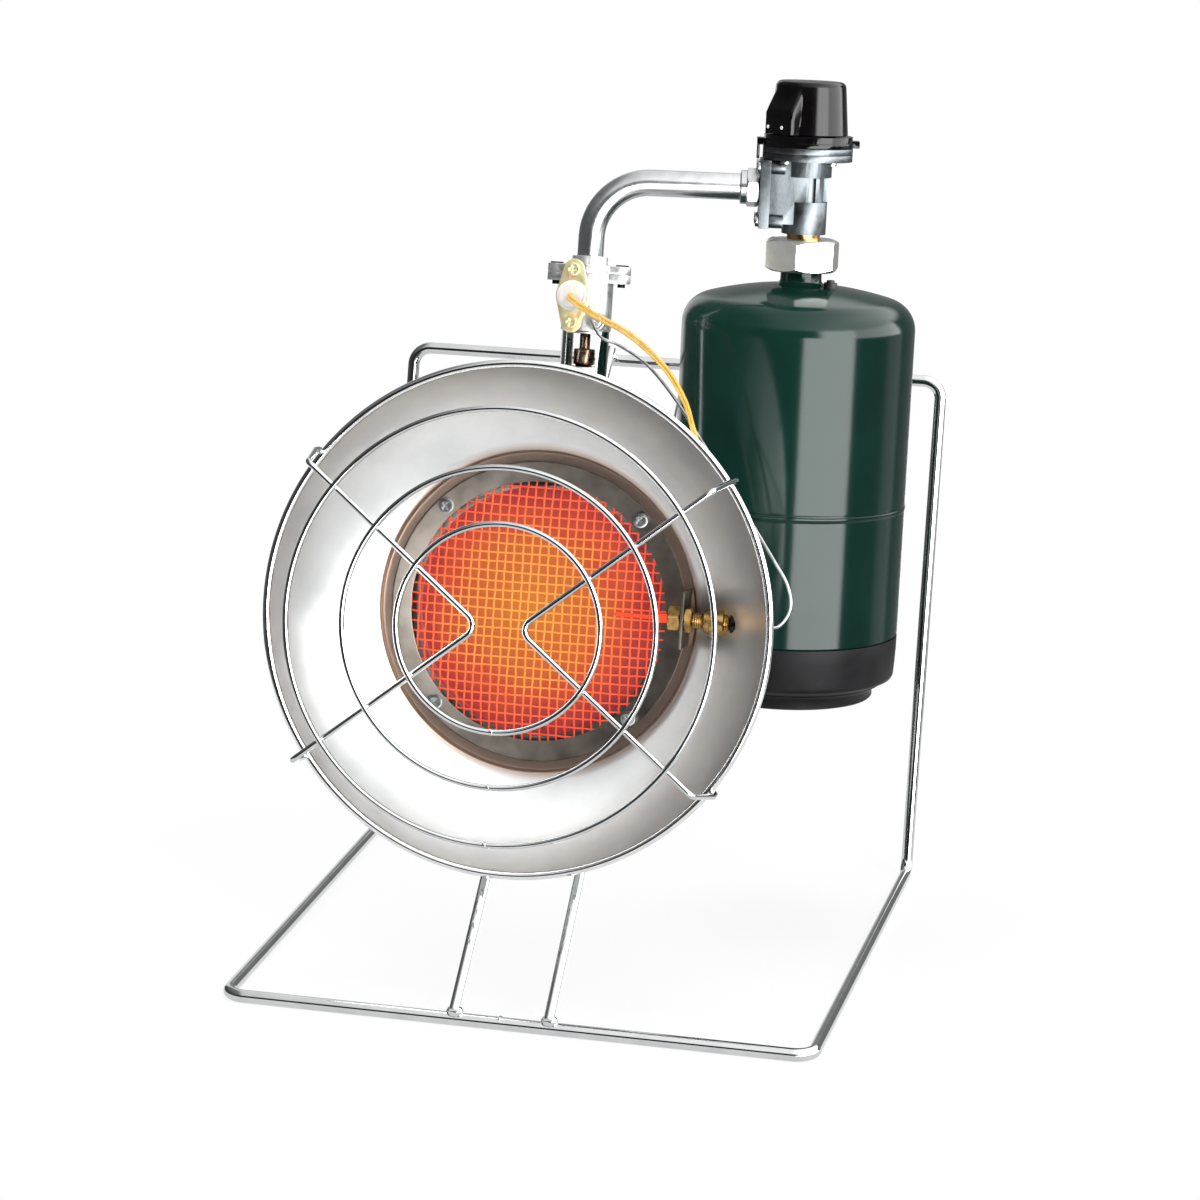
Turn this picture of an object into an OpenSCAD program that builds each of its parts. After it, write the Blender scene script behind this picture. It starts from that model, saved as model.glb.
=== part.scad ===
// Portable propane heater: wire stand, bowl burner with guard, regulator and gas cylinder.
// Front faces -Y, up is +Z. The origin is on the floor, in the middle of the stand's outline.

/* [Stand] */
// Width of the base frame at the front bar, between wire centres
stand_front_w = 232; // [200:1:260]
// Width of the frame at the floor bend at the back
stand_back_w = 248; // [200:1:280]
// Width of the back frame at the top bar
stand_top_w = 246; // [200:1:280]
// Depth of the base, from the front bar to the floor bend
stand_depth = 262; // [235:1:290]
// Height of the top bar's centre above the floor
stand_h = 224; // [205:1:240]
// How far the back frame leans back at the top bar
stand_lean = 34; // [15:1:50]
// Diameter of the stand wire
stand_wire_d = 5.2; // [4:0.1:6.5]
// Radius of the stand's bends, at the wire's centre
stand_bend_r = 8; // [6:0.5:20]
// Diameter of the two struts
strut_d = 4; // [3:0.1:5]
// Distance between the struts
strut_gap = 37.4; // [34:0.2:46]
// Middle of the struts at the front bar
strut_front_x = -4.5; // [-10:0.5:0]
// Middle of the struts at the top bar
strut_top_x = -10.9; // [-16:0.5:-6]
// How far a strut runs on past the top bar
strut_tip = 3; // [1:0.5:6]
// Radius of the weld beads on the struts
weld_r = 3.1; // [2.6:0.1:3.4]

/* [Burner bracket] */
// Thickness of the bracket's sheet
bracket_t = 1.5; // [1:0.1:2.5]
// Width of the bracket
bracket_w = 50; // [44:1:60]
// Length of the leaf that lies on the struts
bracket_leaf = 30; // [20:1:36]
// Height of the bracket's top edge below the burner's axis
bracket_top_drop = 15; // [13:0.5:18]
// Height of the two bracket screws below the burner's axis
bracket_screw_drop = 22; // [20:0.5:28]
// Distance between the two bracket screws
bracket_screw_gap = 26; // [18:1:34]

/* [Reflector] */
// Middle of the rim, to the right of the stand's middle
dish_x = -16.5; // [-20:0.5:-10]
// Middle of the rim, in front of the stand's middle
dish_front = 97.3; // [92:0.1:108]
// Middle of the rim above the floor
dish_z = 150.5; // [148:0.5:165]
// Angle by which the burner faces up
head_tilt = 6; // [2:0.5:9]
// Outer radius of the rolled rim
rim_r = 102.6; // [98:0.2:106]
// Radius of the roll of the rim
rim_roll_r = 1.6; // [1.2:0.1:2.2]
// Thickness of the bowl's sheet
dish_t = 0.9; // [0.7:0.1:1.4]
// Depth of the bowl, from the rim's plane to its throat
bowl_depth = 41; // [38:0.5:44]
// Radius of the bowl's throat
throat_r = 67; // [64.5:0.5:70]
// Depth of the step behind the throat
step_depth = 3; // [2:0.2:5]
// Radius of the step's wall
step_r = 65; // [63.5:0.1:66]
// Radius of the opening in the bowl's inner flange
mouth_r = 53.5; // [52:0.1:55]

/* [Burner] */
// Radius of the opening of the screen's ring
screen_r = 52.8; // [51:0.1:53.4]
// Outer radius of the screen's ring
ring_r = 61; // [60:0.1:62]
// Thickness of the screen's ring
ring_t = 0.9; // [0.7:0.1:1.2]
// Thickness of the screen
screen_t = 1.2; // [0.9:0.1:1.6]
// Distance between the screen's wires
screen_pitch = 6.2; // [6:0.1:9]
// Width of the screen's wires
screen_wire = 1.2; // [0.8:0.1:2]
// Radius of the circle of the four flange screws
flange_screw_r = 56.8; // [56.4:0.1:57.2]
// Thickness of the burner pan's sheet
pan_t = 1.2; // [0.9:0.1:1.8]
// Outer radius of the pan's wall
pan_r = 51.8; // [48:0.1:52.4]
// Outer radius of the pan's back
pan_back_r = 39; // [36:0.5:44]
// Depth of the pan's straight wall
pan_wall = 10; // [8:0.5:12]
// Depth of the pan's cone
pan_cone = 13; // [10:0.5:16]
// Thickness of the baffle plate
baffle_t = 0.8; // [0.6:0.1:1.2]
// Radius of the baffle plate's holes
baffle_hole_r = 3.4; // [2.5:0.1:3.8]

/* [Mixing tube] */
// Outer radius of the mixing tube
mix_r = 10; // [9:0.1:10.4]
// Wall of the mixing tube
mix_t = 1.2; // [0.9:0.1:1.8]
// Radius of the mixing tube's elbow, at its centre
mix_bend_r = 28; // [22:0.5:32]
// Depth of the upright part of the mixing tube behind the rim
mix_depth = 107; // [104:0.5:112]
// Width of the two air windows
air_w = 13; // [10:0.5:15]
// Height of the two air windows
air_h = 14; // [10:0.5:15]

/* [Guard] */
// Diameter of the guard's wires
guard_wire_d = 2.3; // [1.8:0.1:3]
// Distance of the guard's V wires in front of the rim
guard_front = 28; // [24:0.5:32]
// Radius of the outer ring
guard_outer_r = 84.3; // [80:0.2:88]
// Radius of the middle ring
guard_middle_r = 61.8; // [56:0.2:66]
// Radius of the inner ring
guard_inner_r = 40.2; // [34:0.2:46]
// Distance of each V's point from the middle
guard_point_x = 7.5; // [5:0.5:12]
// Radius of the circle on which the V wires turn back to the rim
guard_corner_r = 98.4; // [94:0.2:100]
// Angle of those corners above and below the middle
guard_corner_angle = 36.4; // [30:0.2:44]
// Radius of the bend at a V's point
guard_point_bend = 5; // [3:0.5:8]
// Radius of the bend at a corner
guard_corner_bend = 3; // [2.5:0.5:6]

/* [Flame sensor] */
// Depth of the sensor behind the rim
sensor_depth = 30; // [27:0.5:33]
// Height of the sensor above the burner's axis
sensor_z = 3; // [0:0.5:6]
// Distance of the sensor's tip from the burner's axis
sensor_tip_x = 49.8; // [46:0.2:53]
// Radius of the sensor's hot tip
sensor_tip_r = 1.7; // [1.2:0.1:2.2]
// Length of the bare tip
sensor_tip_l = 6.2; // [5:0.2:8]
// Radius of the threaded barrel
sensor_barrel_r = 3.2; // [2.6:0.1:3.6]
// How far the barrel stands out behind the bowl's wall
sensor_tail = 7; // [6.5:0.5:10]
// Radius across the corners of the sensor's nuts
sensor_nut_r = 5.6; // [5:0.1:6.4]
// Thickness of the sensor's bracket
sensor_plate_t = 1.2; // [0.9:0.1:1.6]
// Height of the sensor's bracket
sensor_plate_h = 23; // [18:0.5:25]
// Radius of the capillary and of the yellow leads
capillary_r = 0.9; // [0.8:0.05:1.1]

/* [Safety valve] */
// Radius of the valve's barrel
valve_r = 10.5; // [10.2:0.1:12]
// Height of the valve's foot above the burner's axis
valve_foot = 113.7; // [110:0.5:118]
// Height of the barrel below the lugs
valve_barrel_h = 20.3; // [18:0.1:24]
// Width over both lugs
lug_span = 35.4; // [33:0.2:40]
// Depth of a lug, front to back
lug_w = 10; // [9:0.5:13]
// Thickness of the two lugs together
lug_h = 7.2; // [6:0.2:9]
// Distance between the lug screws
lug_pitch = 28; // [26.6:0.2:30]
// Radius of the lug screws
lug_screw_r = 1.6; // [1.2:0.1:2]
// Offset of the tilt switch to the left of the valve's axis
switch_off = 4; // [3:0.5:5]
// Radius of the switch plate in its middle
plate_r = 7.2; // [6.9:0.1:8]
// Radius of the switch plate's ends
plate_end_r = 4.4; // [3.8:0.1:4.6]
// Half the distance between the plate's screws
plate_screw_h = 11; // [10.4:0.2:12]
// Thickness of the switch plate
plate_t = 1; // [0.8:0.1:1.6]
// Radius of the tilt switch
switch_r = 6.4; // [5.6:0.1:6.6]
// Thickness of the tilt switch
switch_t = 4; // [3:0.2:6]
// Radius of the safety button
button_r = 4.8; // [4.4:0.1:6]
// Length of the safety button's head
button_h = 3; // [2:0.2:5]
// Travel of the safety button
button_travel = 4; // [3:0.2:4.4]
// Radius of the safety button's stem
button_stem_r = 2; // [1.6:0.1:2.2]

/* [Gas tube] */
// Outer radius of the gas tube
tube_r = 5.5; // [5:0.1:6]
// Wall of the gas tube
tube_t = 1; // [0.8:0.1:1.4]
// Radius of the elbow at the tube's centre
tube_bend_r = 24; // [18:0.5:25]
// Height of the level run above the floor
tube_z = 314.8; // [312:0.2:320]

/* [Regulator] */
// Regulator and cylinder axis, to the right of the stand's middle
reg_x = 70.5; // [68:0.5:71]
// Regulator and cylinder axis, behind the stand's middle
reg_y = 43.1; // [38:0.1:46]
// Radius of the lower barrel
barrel_r = 9.3; // [8.8:0.1:10]
// Height of the lower barrel
barrel_h = 13.5; // [12:0.1:14]
// Height of the ribbed waist
waist_h = 10.3; // [9:0.1:12]
// Radius of the ribbed waist
waist_r = 7.6; // [6.8:0.1:8.4]
// Radius of the upper boss
boss_r = 10.5; // [10:0.1:11.5]
// Height of the upper boss
boss_h = 6.9; // [6:0.1:8]
// Radius of the flange and bonnet
flange_r = 18.8; // [18.4:0.1:20]
// Height of the body's flange
flange_h = 2.8; // [2.4:0.1:3.6]
// Height of the bonnet's plate
bonnet_h = 2.8; // [2:0.1:3.6]
// Level of the lower barrel's foot below the tube's axis
barrel_drop = 18.3; // [17.5:0.1:19]
// Outer face of the side plate, left of the axis
side_x = 19.4; // [19.2:0.1:21]
// Thickness of the side plate
side_t = 4.2; // [3:0.1:5]
// Width of the side plate
side_w = 22; // [20:0.5:24]
// Height of the side plate
side_h = 28.4; // [26:0.2:29]
// Radius across the corners of the union nut
union_r = 8.4; // [8:0.1:9.5]
// Length of the union nut
union_l = 8; // [7:0.5:10]

/* [Cylinder nut] */
// Radius of the brass stem
stem_r = 7; // [6:0.1:7.5]
// Part of the stem that shows above the nut
stem_show = 2.2; // [1:0.1:4]
// Radius across the corners of the cylinder nut
nut_r = 16.5; // [15.5:0.1:18]
// Height of the cylinder nut
nut_h = 13.5; // [12.5:0.1:16]
// Outer radius of the cylinder's thread
thread_r = 12.65; // [12:0.05:12.9]

/* [Knob] */
// Radius of the knob at its foot
knob_foot_r = 16.4; // [15.6:0.1:17.5]
// Radius of the knob at its top
knob_top_r = 14.5; // [13.5:0.1:15]
// Height of the knob
knob_h = 22; // [20:0.2:26]
// Reach of the knob's wedge at its foot
wedge_foot = 18.6; // [17.6:0.1:20]
// Width of the wedge
wedge_w = 17; // [12:0.5:20]
// Radius of the fixed ring under the knob
bezel_r = 18.5; // [18:0.1:20]
// Height of the fixed ring
bezel_h = 4.5; // [3:0.1:6]
// Reach of the fixed ring's tabs
tab_r = 21.3; // [20.4:0.1:23]

/* [Cylinder] */
// Outer radius of the cylinder
cyl_r = 49.25; // [47:0.25:49.5]
// Thickness of the cylinder's steel
cyl_t = 0.9; // [0.8:0.05:1.4]
// Height of the shoulder
dome_h = 18; // [16:0.5:22]
// Radius of the shoulder's knuckle
knuckle_r = 13; // [11:0.5:15]
// Distance from the top of the dome to the weld seam
seam_drop = 92.5; // [80:0.5:105]
// Distance from the top of the dome to the foot cup
cup_drop = 147.8; // [135:0.5:152]
// Height of the foot cup
cup_h = 27.8; // [26:0.2:32]
// Wall of the foot cup
cup_t = 1.3; // [1:0.1:1.6]
// Radius of the cup's foot ring
foot_r = 40; // [38:0.5:42]
// Height of the cup's foot ring
foot_h = 4.6; // [4:0.2:6]
// Radius of the neck below the thread
neck_r = 8.7; // [8:0.1:9.5]
// Height of the neck that shows between nut and dome
neck_show = 5.3; // [4:0.1:8]
// Radius of the relief valve
relief_r = 2.8; // [2.2:0.1:3.2]
// Distance of the relief valve from the axis
relief_x = 13.6; // [13:0.1:18]

/* [Hidden] */
$fn = 64;

// Clearances and overruns
fit = 0.05;
seat = 0.1;
cut = 1;
wire_fn = 24;
// A wire swells by this much where a bend begins or ends
join_rise = 0.03;
arc_steps = 8;

// Stand
wire_r = stand_wire_d / 2;
strut_r = strut_d / 2;
strut_slope = atan((stand_h - wire_r) / (stand_depth + stand_lean));
strut_run = norm([stand_depth + stand_lean, stand_h - wire_r]);
strut_lift = wire_r + strut_r + seat;
weld_lift = 2.9;
weld_in = 1.3;
// The struts' lower ends reach in front of the front bar, which sets the middle of the outline
strut_reach = (strut_lift + strut_r) * sin(strut_slope);
front_y = (strut_reach - wire_r - stand_depth - stand_lean) / 2;
back_y = front_y + stand_depth;
top_y = back_y + stand_lean;
butt_weld_x = -5.4;
butt_weld_w = 2;
butt_weld_rise = 0.3;

// Head: the burner's own frame, whose Y is the depth behind the rim
dish_c = [dish_x, -dish_front, dish_z];
head_back = [0, cos(head_tilt), -sin(head_tilt)];
head_up = [0, sin(head_tilt), cos(head_tilt)];
function head_point(p) = dish_c + [p[0], 0, 0] + p[1] * head_back + p[2] * head_up;
roll_c = rim_r - rim_roll_r;
bowl_c = (pow(throat_r, 2) + pow(bowl_depth, 2) - pow(roll_c, 2)) / (2 * bowl_depth);
bowl_r = norm([roll_c, bowl_c]);
function bowl_radius(depth) = sqrt(pow(bowl_r, 2) - pow(depth - bowl_c, 2));
bowl_a0 = atan2(-bowl_c, roll_c);
bowl_a1 = atan2(bowl_depth - bowl_c, throat_r);
bowl_steps = 14;
floor_depth = bowl_depth + step_depth;

// Burner
screen_depth = floor_depth + dish_t;
pan_front = screen_depth + screen_t;
pan_knee = pan_front + pan_t + pan_wall;
pan_back = pan_knee + pan_cone;
screen_edge_r = mouth_r + screen_t / 2;
screw_r = 1.5;
screw_head_r = 3;
screw_head_h = 1.8;
slot_w = 0.8;
slot_depth = 0.7;
flange_stack = ring_t + dish_t + screen_t + 2 * pan_t;
baffle_depth = pan_front + 2.4;
baffle_rings = [0, 1, 2, 3];
baffle_step = 11.5;

// Guard
guard_r = guard_wire_d / 2;
hook_r = rim_r + guard_r + seat;
hook_depth = rim_roll_r + guard_r + 3 * seat;
hook_end_r = roll_c + guard_r / 2;
hook_bend = guard_r + seat;
ring_front = guard_front + guard_wire_d + seat / 2;

// Flame sensor
sensor_wall_x = bowl_radius(sensor_depth);
sensor_barrel_x = sensor_tip_x + sensor_tip_l;
sensor_plate_x = ring_r + 5 * seat;
sensor_end_x = sensor_wall_x + sensor_tail;
needle_r = 0.8;
needle_l = 16;
sleeve_wall = 1.1;
sleeve_r = sensor_barrel_r + sleeve_wall;
sleeve_l = 9;
// The sleeve starts just clear of the bowl's back
sleeve_x = bowl_radius(sensor_depth - sleeve_r) + 2 * dish_t;
sleeve_end = sleeve_x + sleeve_l;
lead_straight = 3;

// Safety valve
lug_z = valve_foot + valve_barrel_h;
lug_split = lug_z + lug_h / 2;
valve_top = lug_z + lug_h;
switch_z = valve_foot + 0.7 * valve_barrel_h;
switch_stand = 1;
switch_face = valve_r + switch_stand;
switch_boss_rim = 1;
notch_y = 8;
plate_boss_r = 2.6;
plate_shank = 4;
lug_head_h = 0.6;
lug_screw_tip = 1.6;
socket_wall = 2;
lead_x = 6.2;
lead_rise = 4.2;
lead_z = valve_foot + lead_rise;
lead_boss_r = 3.9;
lead_nut_r = 3.6;
lead_nut_l = 4;
button_z = valve_foot + valve_barrel_h / 2;
button_boss_l = 3.5;
button_face = valve_r + button_boss_l;
button_slack = 1;
button_gap = button_travel + button_slack;
button_wall = 1.2;
button_boss_r = button_r + button_wall;
button_tail = 2;
spring_wire_r = 0.35;
spring_clear = 1.1;
spring_r = button_stem_r + spring_clear;
jet_r = 2.2;
jet_cap_r = 4.4;
jet_cap_h = 7.6;
jet_edge = 1;
jet_neck = 7.8;
jet_thread = 6;
jet_hole_r = 0.5;

// Gas tube: it leaves the valve along the head's lean, and its level run aims at the regulator
tube_foot = head_point([0, mix_depth, lug_split + seat]);
tube_corner = tube_foot + head_up * (tube_z - tube_foot[2]) / head_up[2];
reg_c = [reg_x, reg_y, tube_z];
tube_aim = (reg_c - tube_corner) / norm(reg_c - tube_corner);
reg_yaw = atan2(tube_aim[1], tube_aim[0]);
socket_end = 11;
bead_rise = 1.2;
bead_r = tube_r + bead_rise;
bead_l = 1.4;

// Regulator levels, from the tube's axis
barrel_foot = -barrel_drop;
waist_foot = barrel_foot + barrel_h;
boss_foot = waist_foot + waist_h;
flange_foot = boss_foot + boss_h;
bonnet_foot = flange_foot + flange_h;
bonnet_top = bonnet_foot + bonnet_h;
bezel_foot = bonnet_top + 2 * seat;
knob_foot = bezel_foot + bezel_h + 3 * seat;
knob_top = knob_foot + knob_h;
block_x = side_x - side_t;
side_top = flange_foot - 2 * seat;
membrane_r = 13.4;
membrane_t = 0.6;
bonnet_screw_r = 1.3;
bonnet_screw_at = (membrane_r + flange_r) / 2;
bonnet_screw_turn = 54;
bonnet_head_h = 1.2;
bonnet_blind = 0.5;
chamber_in = 5;
chamber_drop = 1;
dome_r = 9.6;
bonnet_dome_h = 12;
dome_top = bonnet_top + bonnet_dome_h;
dome_wall = 1.4;
range_wire_r = 0.6;
shaft_r = 2.4;
shaft_drop = 4;
cap_drop = 2.2;
cap_z = dome_top - dome_wall - cap_drop;
cap_t = 1.4;
side_screw_in = 3;
side_screw_y = side_w / 2 - side_screw_in;
side_screw_z = [side_top - side_h + side_screw_in, side_top - side_screw_in];
side_head_r = 2.4;
side_head_h = 1.4;
side_grip = 3;
side_boss_r = 2.8;
side_boss_l = 6;
block_in = 3;
block_rise = 2;
block_drop = 1;

// Cylinder nut levels
nut_top = barrel_foot - stem_show;
nut_foot = nut_top - nut_h;
nut_web = 2;
nut_turn = 17;
collar_t = 2;
collar_rim = 2;
collar_r = stem_r + collar_rim;
thread_top = nut_top - nut_web - collar_t;
gasket_t = 0.5;
gasket_in = 1;
neck_top = thread_top - gasket_t - 3 * seat;
thread_foot = nut_foot + 6 * seat;
neck_bore_r = 5.5;
neck_sunk = 3;
core_drop = 7;
core_top = neck_top - core_drop;
core_h = 5;
stem_spigot_r = 5;
stem_spigot_h = 8;
stem_bore_r = 2;
pin_r = 1;

// Cylinder levels
dome_apex = nut_foot - neck_show;
shoulder_z = dome_apex - dome_h;
seam_z = dome_apex - seam_drop;
cup_top = dome_apex - cup_drop;
cup_foot = cup_top - cup_h;
base_r = cyl_r - cup_t;
base_in = 6;
base_gap = 1.2;
base_z = cup_top - base_in;
base_h = cup_h - base_in - foot_h - base_gap;
seam_h = 2.4;
seam_rise = 0.35;
relief_h = 4.4;
relief_tip = 1;
relief_slot = 0.6;

// A unit vector, and the point where two lines of a plane meet
function unit(v) = v / norm(v);
function meet(p, u, q, v) =
    p + u * (((q - p)[0] * v[1] - (q - p)[1] * v[0]) / (u[0] * v[1] - u[1] * v[0]));
// Points along an arc of a plane
function arc(c, r, a0, a1, n = arc_steps) =
    [for (i = [0:n]) let (a = a0 + (a1 - a0) * i / n) c + r * [cos(a), sin(a)]];
// Angles that turn X to e1 and Y to e2
function frame_angles(e1, e2) =
    let (e3 = cross(e1, e2))
    abs(e1[2]) > 0.99999 ? [atan2(-e1[2] * e2[0], e2[1]), -90 * e1[2], 0]
    : [atan2(e2[2], e3[2]), -asin(e1[2]), atan2(e1[1], e1[0])];

// Moves a shape from the origin to p and turns its Z to d
module aim(p, d) { translate(p) rotate([0, acos(d[2]), atan2(d[1], d[0])]) children(); }
// A straight rod between two points
module rod(a, b, r) { aim(a, unit(b - a)) cylinder(r = r, h = norm(b - a), $fn = wire_fn); }

// A bend of a wire at corner p, arriving along u and leaving along v
module wire_bend(p, u, v, r, bend) {
    turn = acos(u * v);
    n = unit(v - u * (u * v));
    s = p - u * bend * tan(turn / 2);
    translate(s + n * bend) rotate(frame_angles(-n, u))
        rotate_extrude(angle = turn) translate([bend, 0]) circle(r = r, $fn = wire_fn);
}

// A wire or tube of radius r along points, each corner rounded with its own bend radius
module wire_run(path, r, bends, closed = false) {
    n = len(path);
    last = closed ? n - 1 : n - 2;
    function at(i) = path[(i + n) % n];
    function heading(i) = unit(at(i + 1) - at(i));
    function trim(i) = (!closed && (i == 0 || i == n - 1)) ? 0
        : bends[i % n] * tan(acos(heading(i - 1) * heading(i)) / 2);
    for (i = [0:last])
        rod(at(i) + heading(i) * trim(i), at(i + 1) - heading(i) * trim((i + 1) % n), r);
    for (i = [closed ? 0 : 1:closed ? n - 1 : n - 2]) {
        wire_bend(at(i), heading(i - 1), heading(i), r, bends[i % n]);
        aim(at(i) - heading(i - 1) * trim(i), heading(i - 1)) sphere(r = r + join_rise, $fn = wire_fn);
        aim(at(i) + heading(i) * trim(i), heading(i)) sphere(r = r + join_rise, $fn = wire_fn);
    }
}

// A flexible lead: a closed tube of eight sides swept along points
function lead_side(path, i) =
    let (n = len(path), d = unit(path[min(i + 1, n - 1)] - path[max(i - 1, 0)]))
    unit(cross(d, abs(d[2]) > 0.9 ? [1, 0, 0] : [0, 0, 1]));
function bezier(p, t) =
    let (s = 1 - t) p[0] * pow(s, 3) + p[1] * 3 * pow(s, 2) * t + p[2] * 3 * s * pow(t, 2) + p[3] * pow(t, 3);
function smooth_route(p, steps) =
    [for (i = [0:len(p) - 2], k = [0:i == len(p) - 2 ? steps : steps - 1])
        let (a = p[max(i - 1, 0)], b = p[i], c = p[i + 1], d = p[min(i + 2, len(p) - 1)])
        bezier([b, b + (c - a) / 6, c - (d - b) / 6, c], k / steps)];
module lead(path, r) {
    sides = 8;
    n = len(path);
    points = [for (i = [0:n - 1], k = [0:sides - 1])
        let (d = unit(path[min(i + 1, n - 1)] - path[max(i - 1, 0)]), e = lead_side(path, i),
            f = cross(d, e), a = 360 * k / sides)
        path[i] + r * (cos(a) * e + sin(a) * f)];
    faces = concat(
        [for (i = [0:n - 2], k = [0:sides - 1]) let (m = (k + 1) % sides)
            [i * sides + k, (i + 1) * sides + k, (i + 1) * sides + m, i * sides + m]],
        [[for (k = [0:sides - 1]) k]],
        [[for (k = [0:sides - 1]) (n - 1) * sides + sides - 1 - k]]);
    polyhedron(points, faces);
}

// A compression spring of round wire that stands on Z
spring_rings = 8;
spring_sides = 6;
module spring(r, wire, h, turns) {
    n = turns * spring_rings;
    path = [for (i = [0:n]) let (a = 360 * i / spring_rings) [r * cos(a), r * sin(a), wire + (h - 2 * wire) * i / n]];
    points = [for (i = [0:n], k = [0:spring_sides - 1])
        let (a = 360 * i / spring_rings, b = 360 * k / spring_sides, out = [cos(a), sin(a), 0])
        path[i] + wire * (cos(b) * out + sin(b) * [0, 0, 1])];
    faces = concat(
        [for (i = [0:n - 1], k = [0:spring_sides - 1]) let (m = (k + 1) % spring_sides)
            [i * spring_sides + k, i * spring_sides + m, (i + 1) * spring_sides + m, (i + 1) * spring_sides + k]],
        [[for (k = [0:spring_sides - 1]) spring_sides - 1 - k]],
        [[for (k = [0:spring_sides - 1]) n * spring_sides + k]]);
    polyhedron(points, faces);
}

// Frames: the burner's, its axis, the valve's and the regulator's
module head_frame() { translate(dish_c) rotate([-head_tilt, 0, 0]) children(); }
module spin_about_head() { head_frame() rotate([-90, 0, 0]) rotate_extrude() children(); }
module valve_frame() { head_frame() translate([0, mix_depth, 0]) children(); }
module regulator_frame() { translate(reg_c) rotate([0, 0, reg_yaw]) children(); }
module strut_frame() { translate([0, front_y, wire_r]) rotate([strut_slope, 0, 0]) children(); }
// Turns an upright shape to stand along +Y or -Y
module to_back() { rotate([-90, 0, 0]) children(); }
module to_front() { rotate([90, 0, 0]) children(); }

// A cross-slotted screw whose head's foot is at z = 0 and whose shank goes down
module cross_screw(r, head_r, head_h, shank) {
    difference() {
        union() {
            cylinder(r = head_r, h = head_h, $fn = 32);
            translate([0, 0, -shank]) cylinder(r = r, h = shank, $fn = 32);
        }
        for (a = [0, 90])
            rotate([0, 0, a]) translate([-0.6 * head_r, -slot_w / 2, head_h - slot_depth])
                cube([1.2 * head_r, slot_w, slot_depth + cut]);
    }
}

module stand_wire() {
    path = [[-stand_front_w / 2, front_y, wire_r], [stand_front_w / 2, front_y, wire_r],
        [stand_back_w / 2, back_y, wire_r], [stand_top_w / 2, top_y, stand_h],
        [-stand_top_w / 2, top_y, stand_h], [-stand_back_w / 2, back_y, wire_r]];
    color("silver") {
        wire_run(path, wire_r, [for (p = path) stand_bend_r], closed = true);
        translate([butt_weld_x - butt_weld_w / 2, front_y + butt_weld_rise, wire_r + butt_weld_rise])
            rotate([0, 90, 0]) cylinder(r = wire_r + butt_weld_rise / 2, h = butt_weld_w, $fn = wire_fn);
    }
}

function strut_x(side, share) =
    strut_front_x + (strut_top_x - strut_front_x) * share + side * strut_gap / 2;
module stand_struts() {
    color("silver") for (side = [-1, 1]) {
        a = [strut_x(side, 0), 0, strut_lift];
        b = [strut_x(side, 1 + strut_tip / strut_run), strut_run + strut_tip, strut_lift];
        strut_frame() {
            rod(a, b, strut_r);
            difference() {
                for (share = [0, 1])
                    translate([strut_x(side, share), share * (strut_run - 2 * weld_in) + weld_in, weld_lift])
                        sphere(r = weld_r, $fn = 32);
                for (share = [0, 1])
                    translate([strut_x(side, share), share * strut_run, 0]) rotate([0, 90, 0])
                        cylinder(r = wire_r + seat / 2, h = 4 * weld_r, center = true, $fn = wire_fn);
            }
        }
    }
}

// The bracket: a folded strip drawn in the plane of Y and Z
strut_along = [cos(strut_slope), sin(strut_slope)];
strut_over = [-sin(strut_slope), cos(strut_slope)];
up_2d = [head_up[1], head_up[2]];
back_2d = [head_back[1], head_back[2]];
leaf_low = [front_y, wire_r] + strut_over * (strut_lift + strut_r + seat);
leaf_high = leaf_low + strut_over * bracket_t;
pan_back_2d = [dish_c[1], dish_c[2]] + back_2d * (pan_back + seat / 2);
tab_back_2d = pan_back_2d + back_2d * bracket_t;
bracket_x = strut_x(0, 0.4);
module burner_bracket() {
    fold_in = meet(leaf_high, strut_along, pan_back_2d, up_2d);
    fold_out = meet(leaf_low, strut_along, tab_back_2d, up_2d);
    color("gainsboro") difference() {
        translate([bracket_x, 0, 0]) rotate([90, 0, 90]) linear_extrude(bracket_w, center = true)
            polygon([fold_in, pan_back_2d - up_2d * bracket_top_drop, tab_back_2d - up_2d * bracket_top_drop,
                fold_out, fold_out - strut_along * bracket_leaf, fold_in - strut_along * bracket_leaf]);
        bracket_holes(screw_r + fit);
    }
}
module bracket_holes(r) {
    head_frame() for (side = [-1, 1])
        translate([side * bracket_screw_gap / 2, pan_back - pan_t - cut, -bracket_screw_drop])
            to_back() cylinder(r = r, h = pan_t + bracket_t + 3 * cut, $fn = 32);
}
module bracket_screws() {
    color("dimgray") head_frame() for (side = [-1, 1])
        translate([side * bracket_screw_gap / 2, pan_back + bracket_t + seat, -bracket_screw_drop])
            to_back() cross_screw(screw_r, screw_head_r, screw_head_h, bracket_t + pan_t + 2 * cut);
}

module reflector_dish() {
    inside = arc([0, bowl_c], bowl_r, bowl_a0, bowl_a1, bowl_steps);
    outside = arc([0, bowl_c], bowl_r + dish_t, bowl_a1, bowl_a0, bowl_steps);
    color("lightgray") difference() {
        union() {
            spin_about_head() polygon(concat(inside, [[step_r, bowl_depth], [step_r, floor_depth],
                [mouth_r, floor_depth], [mouth_r, screen_depth], [step_r + dish_t, screen_depth],
                [step_r + dish_t, bowl_depth + dish_t]], outside));
            spin_about_head() translate([roll_c, 0]) circle(r = rim_roll_r, $fn = wire_fn);
        }
        flange_holes();
        head_frame() translate([0, sensor_depth, sensor_z]) rotate([0, 90, 0])
            cylinder(r = sensor_barrel_r + 3 * seat, h = 2 * rim_r, $fn = 32);
    }
}

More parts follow.
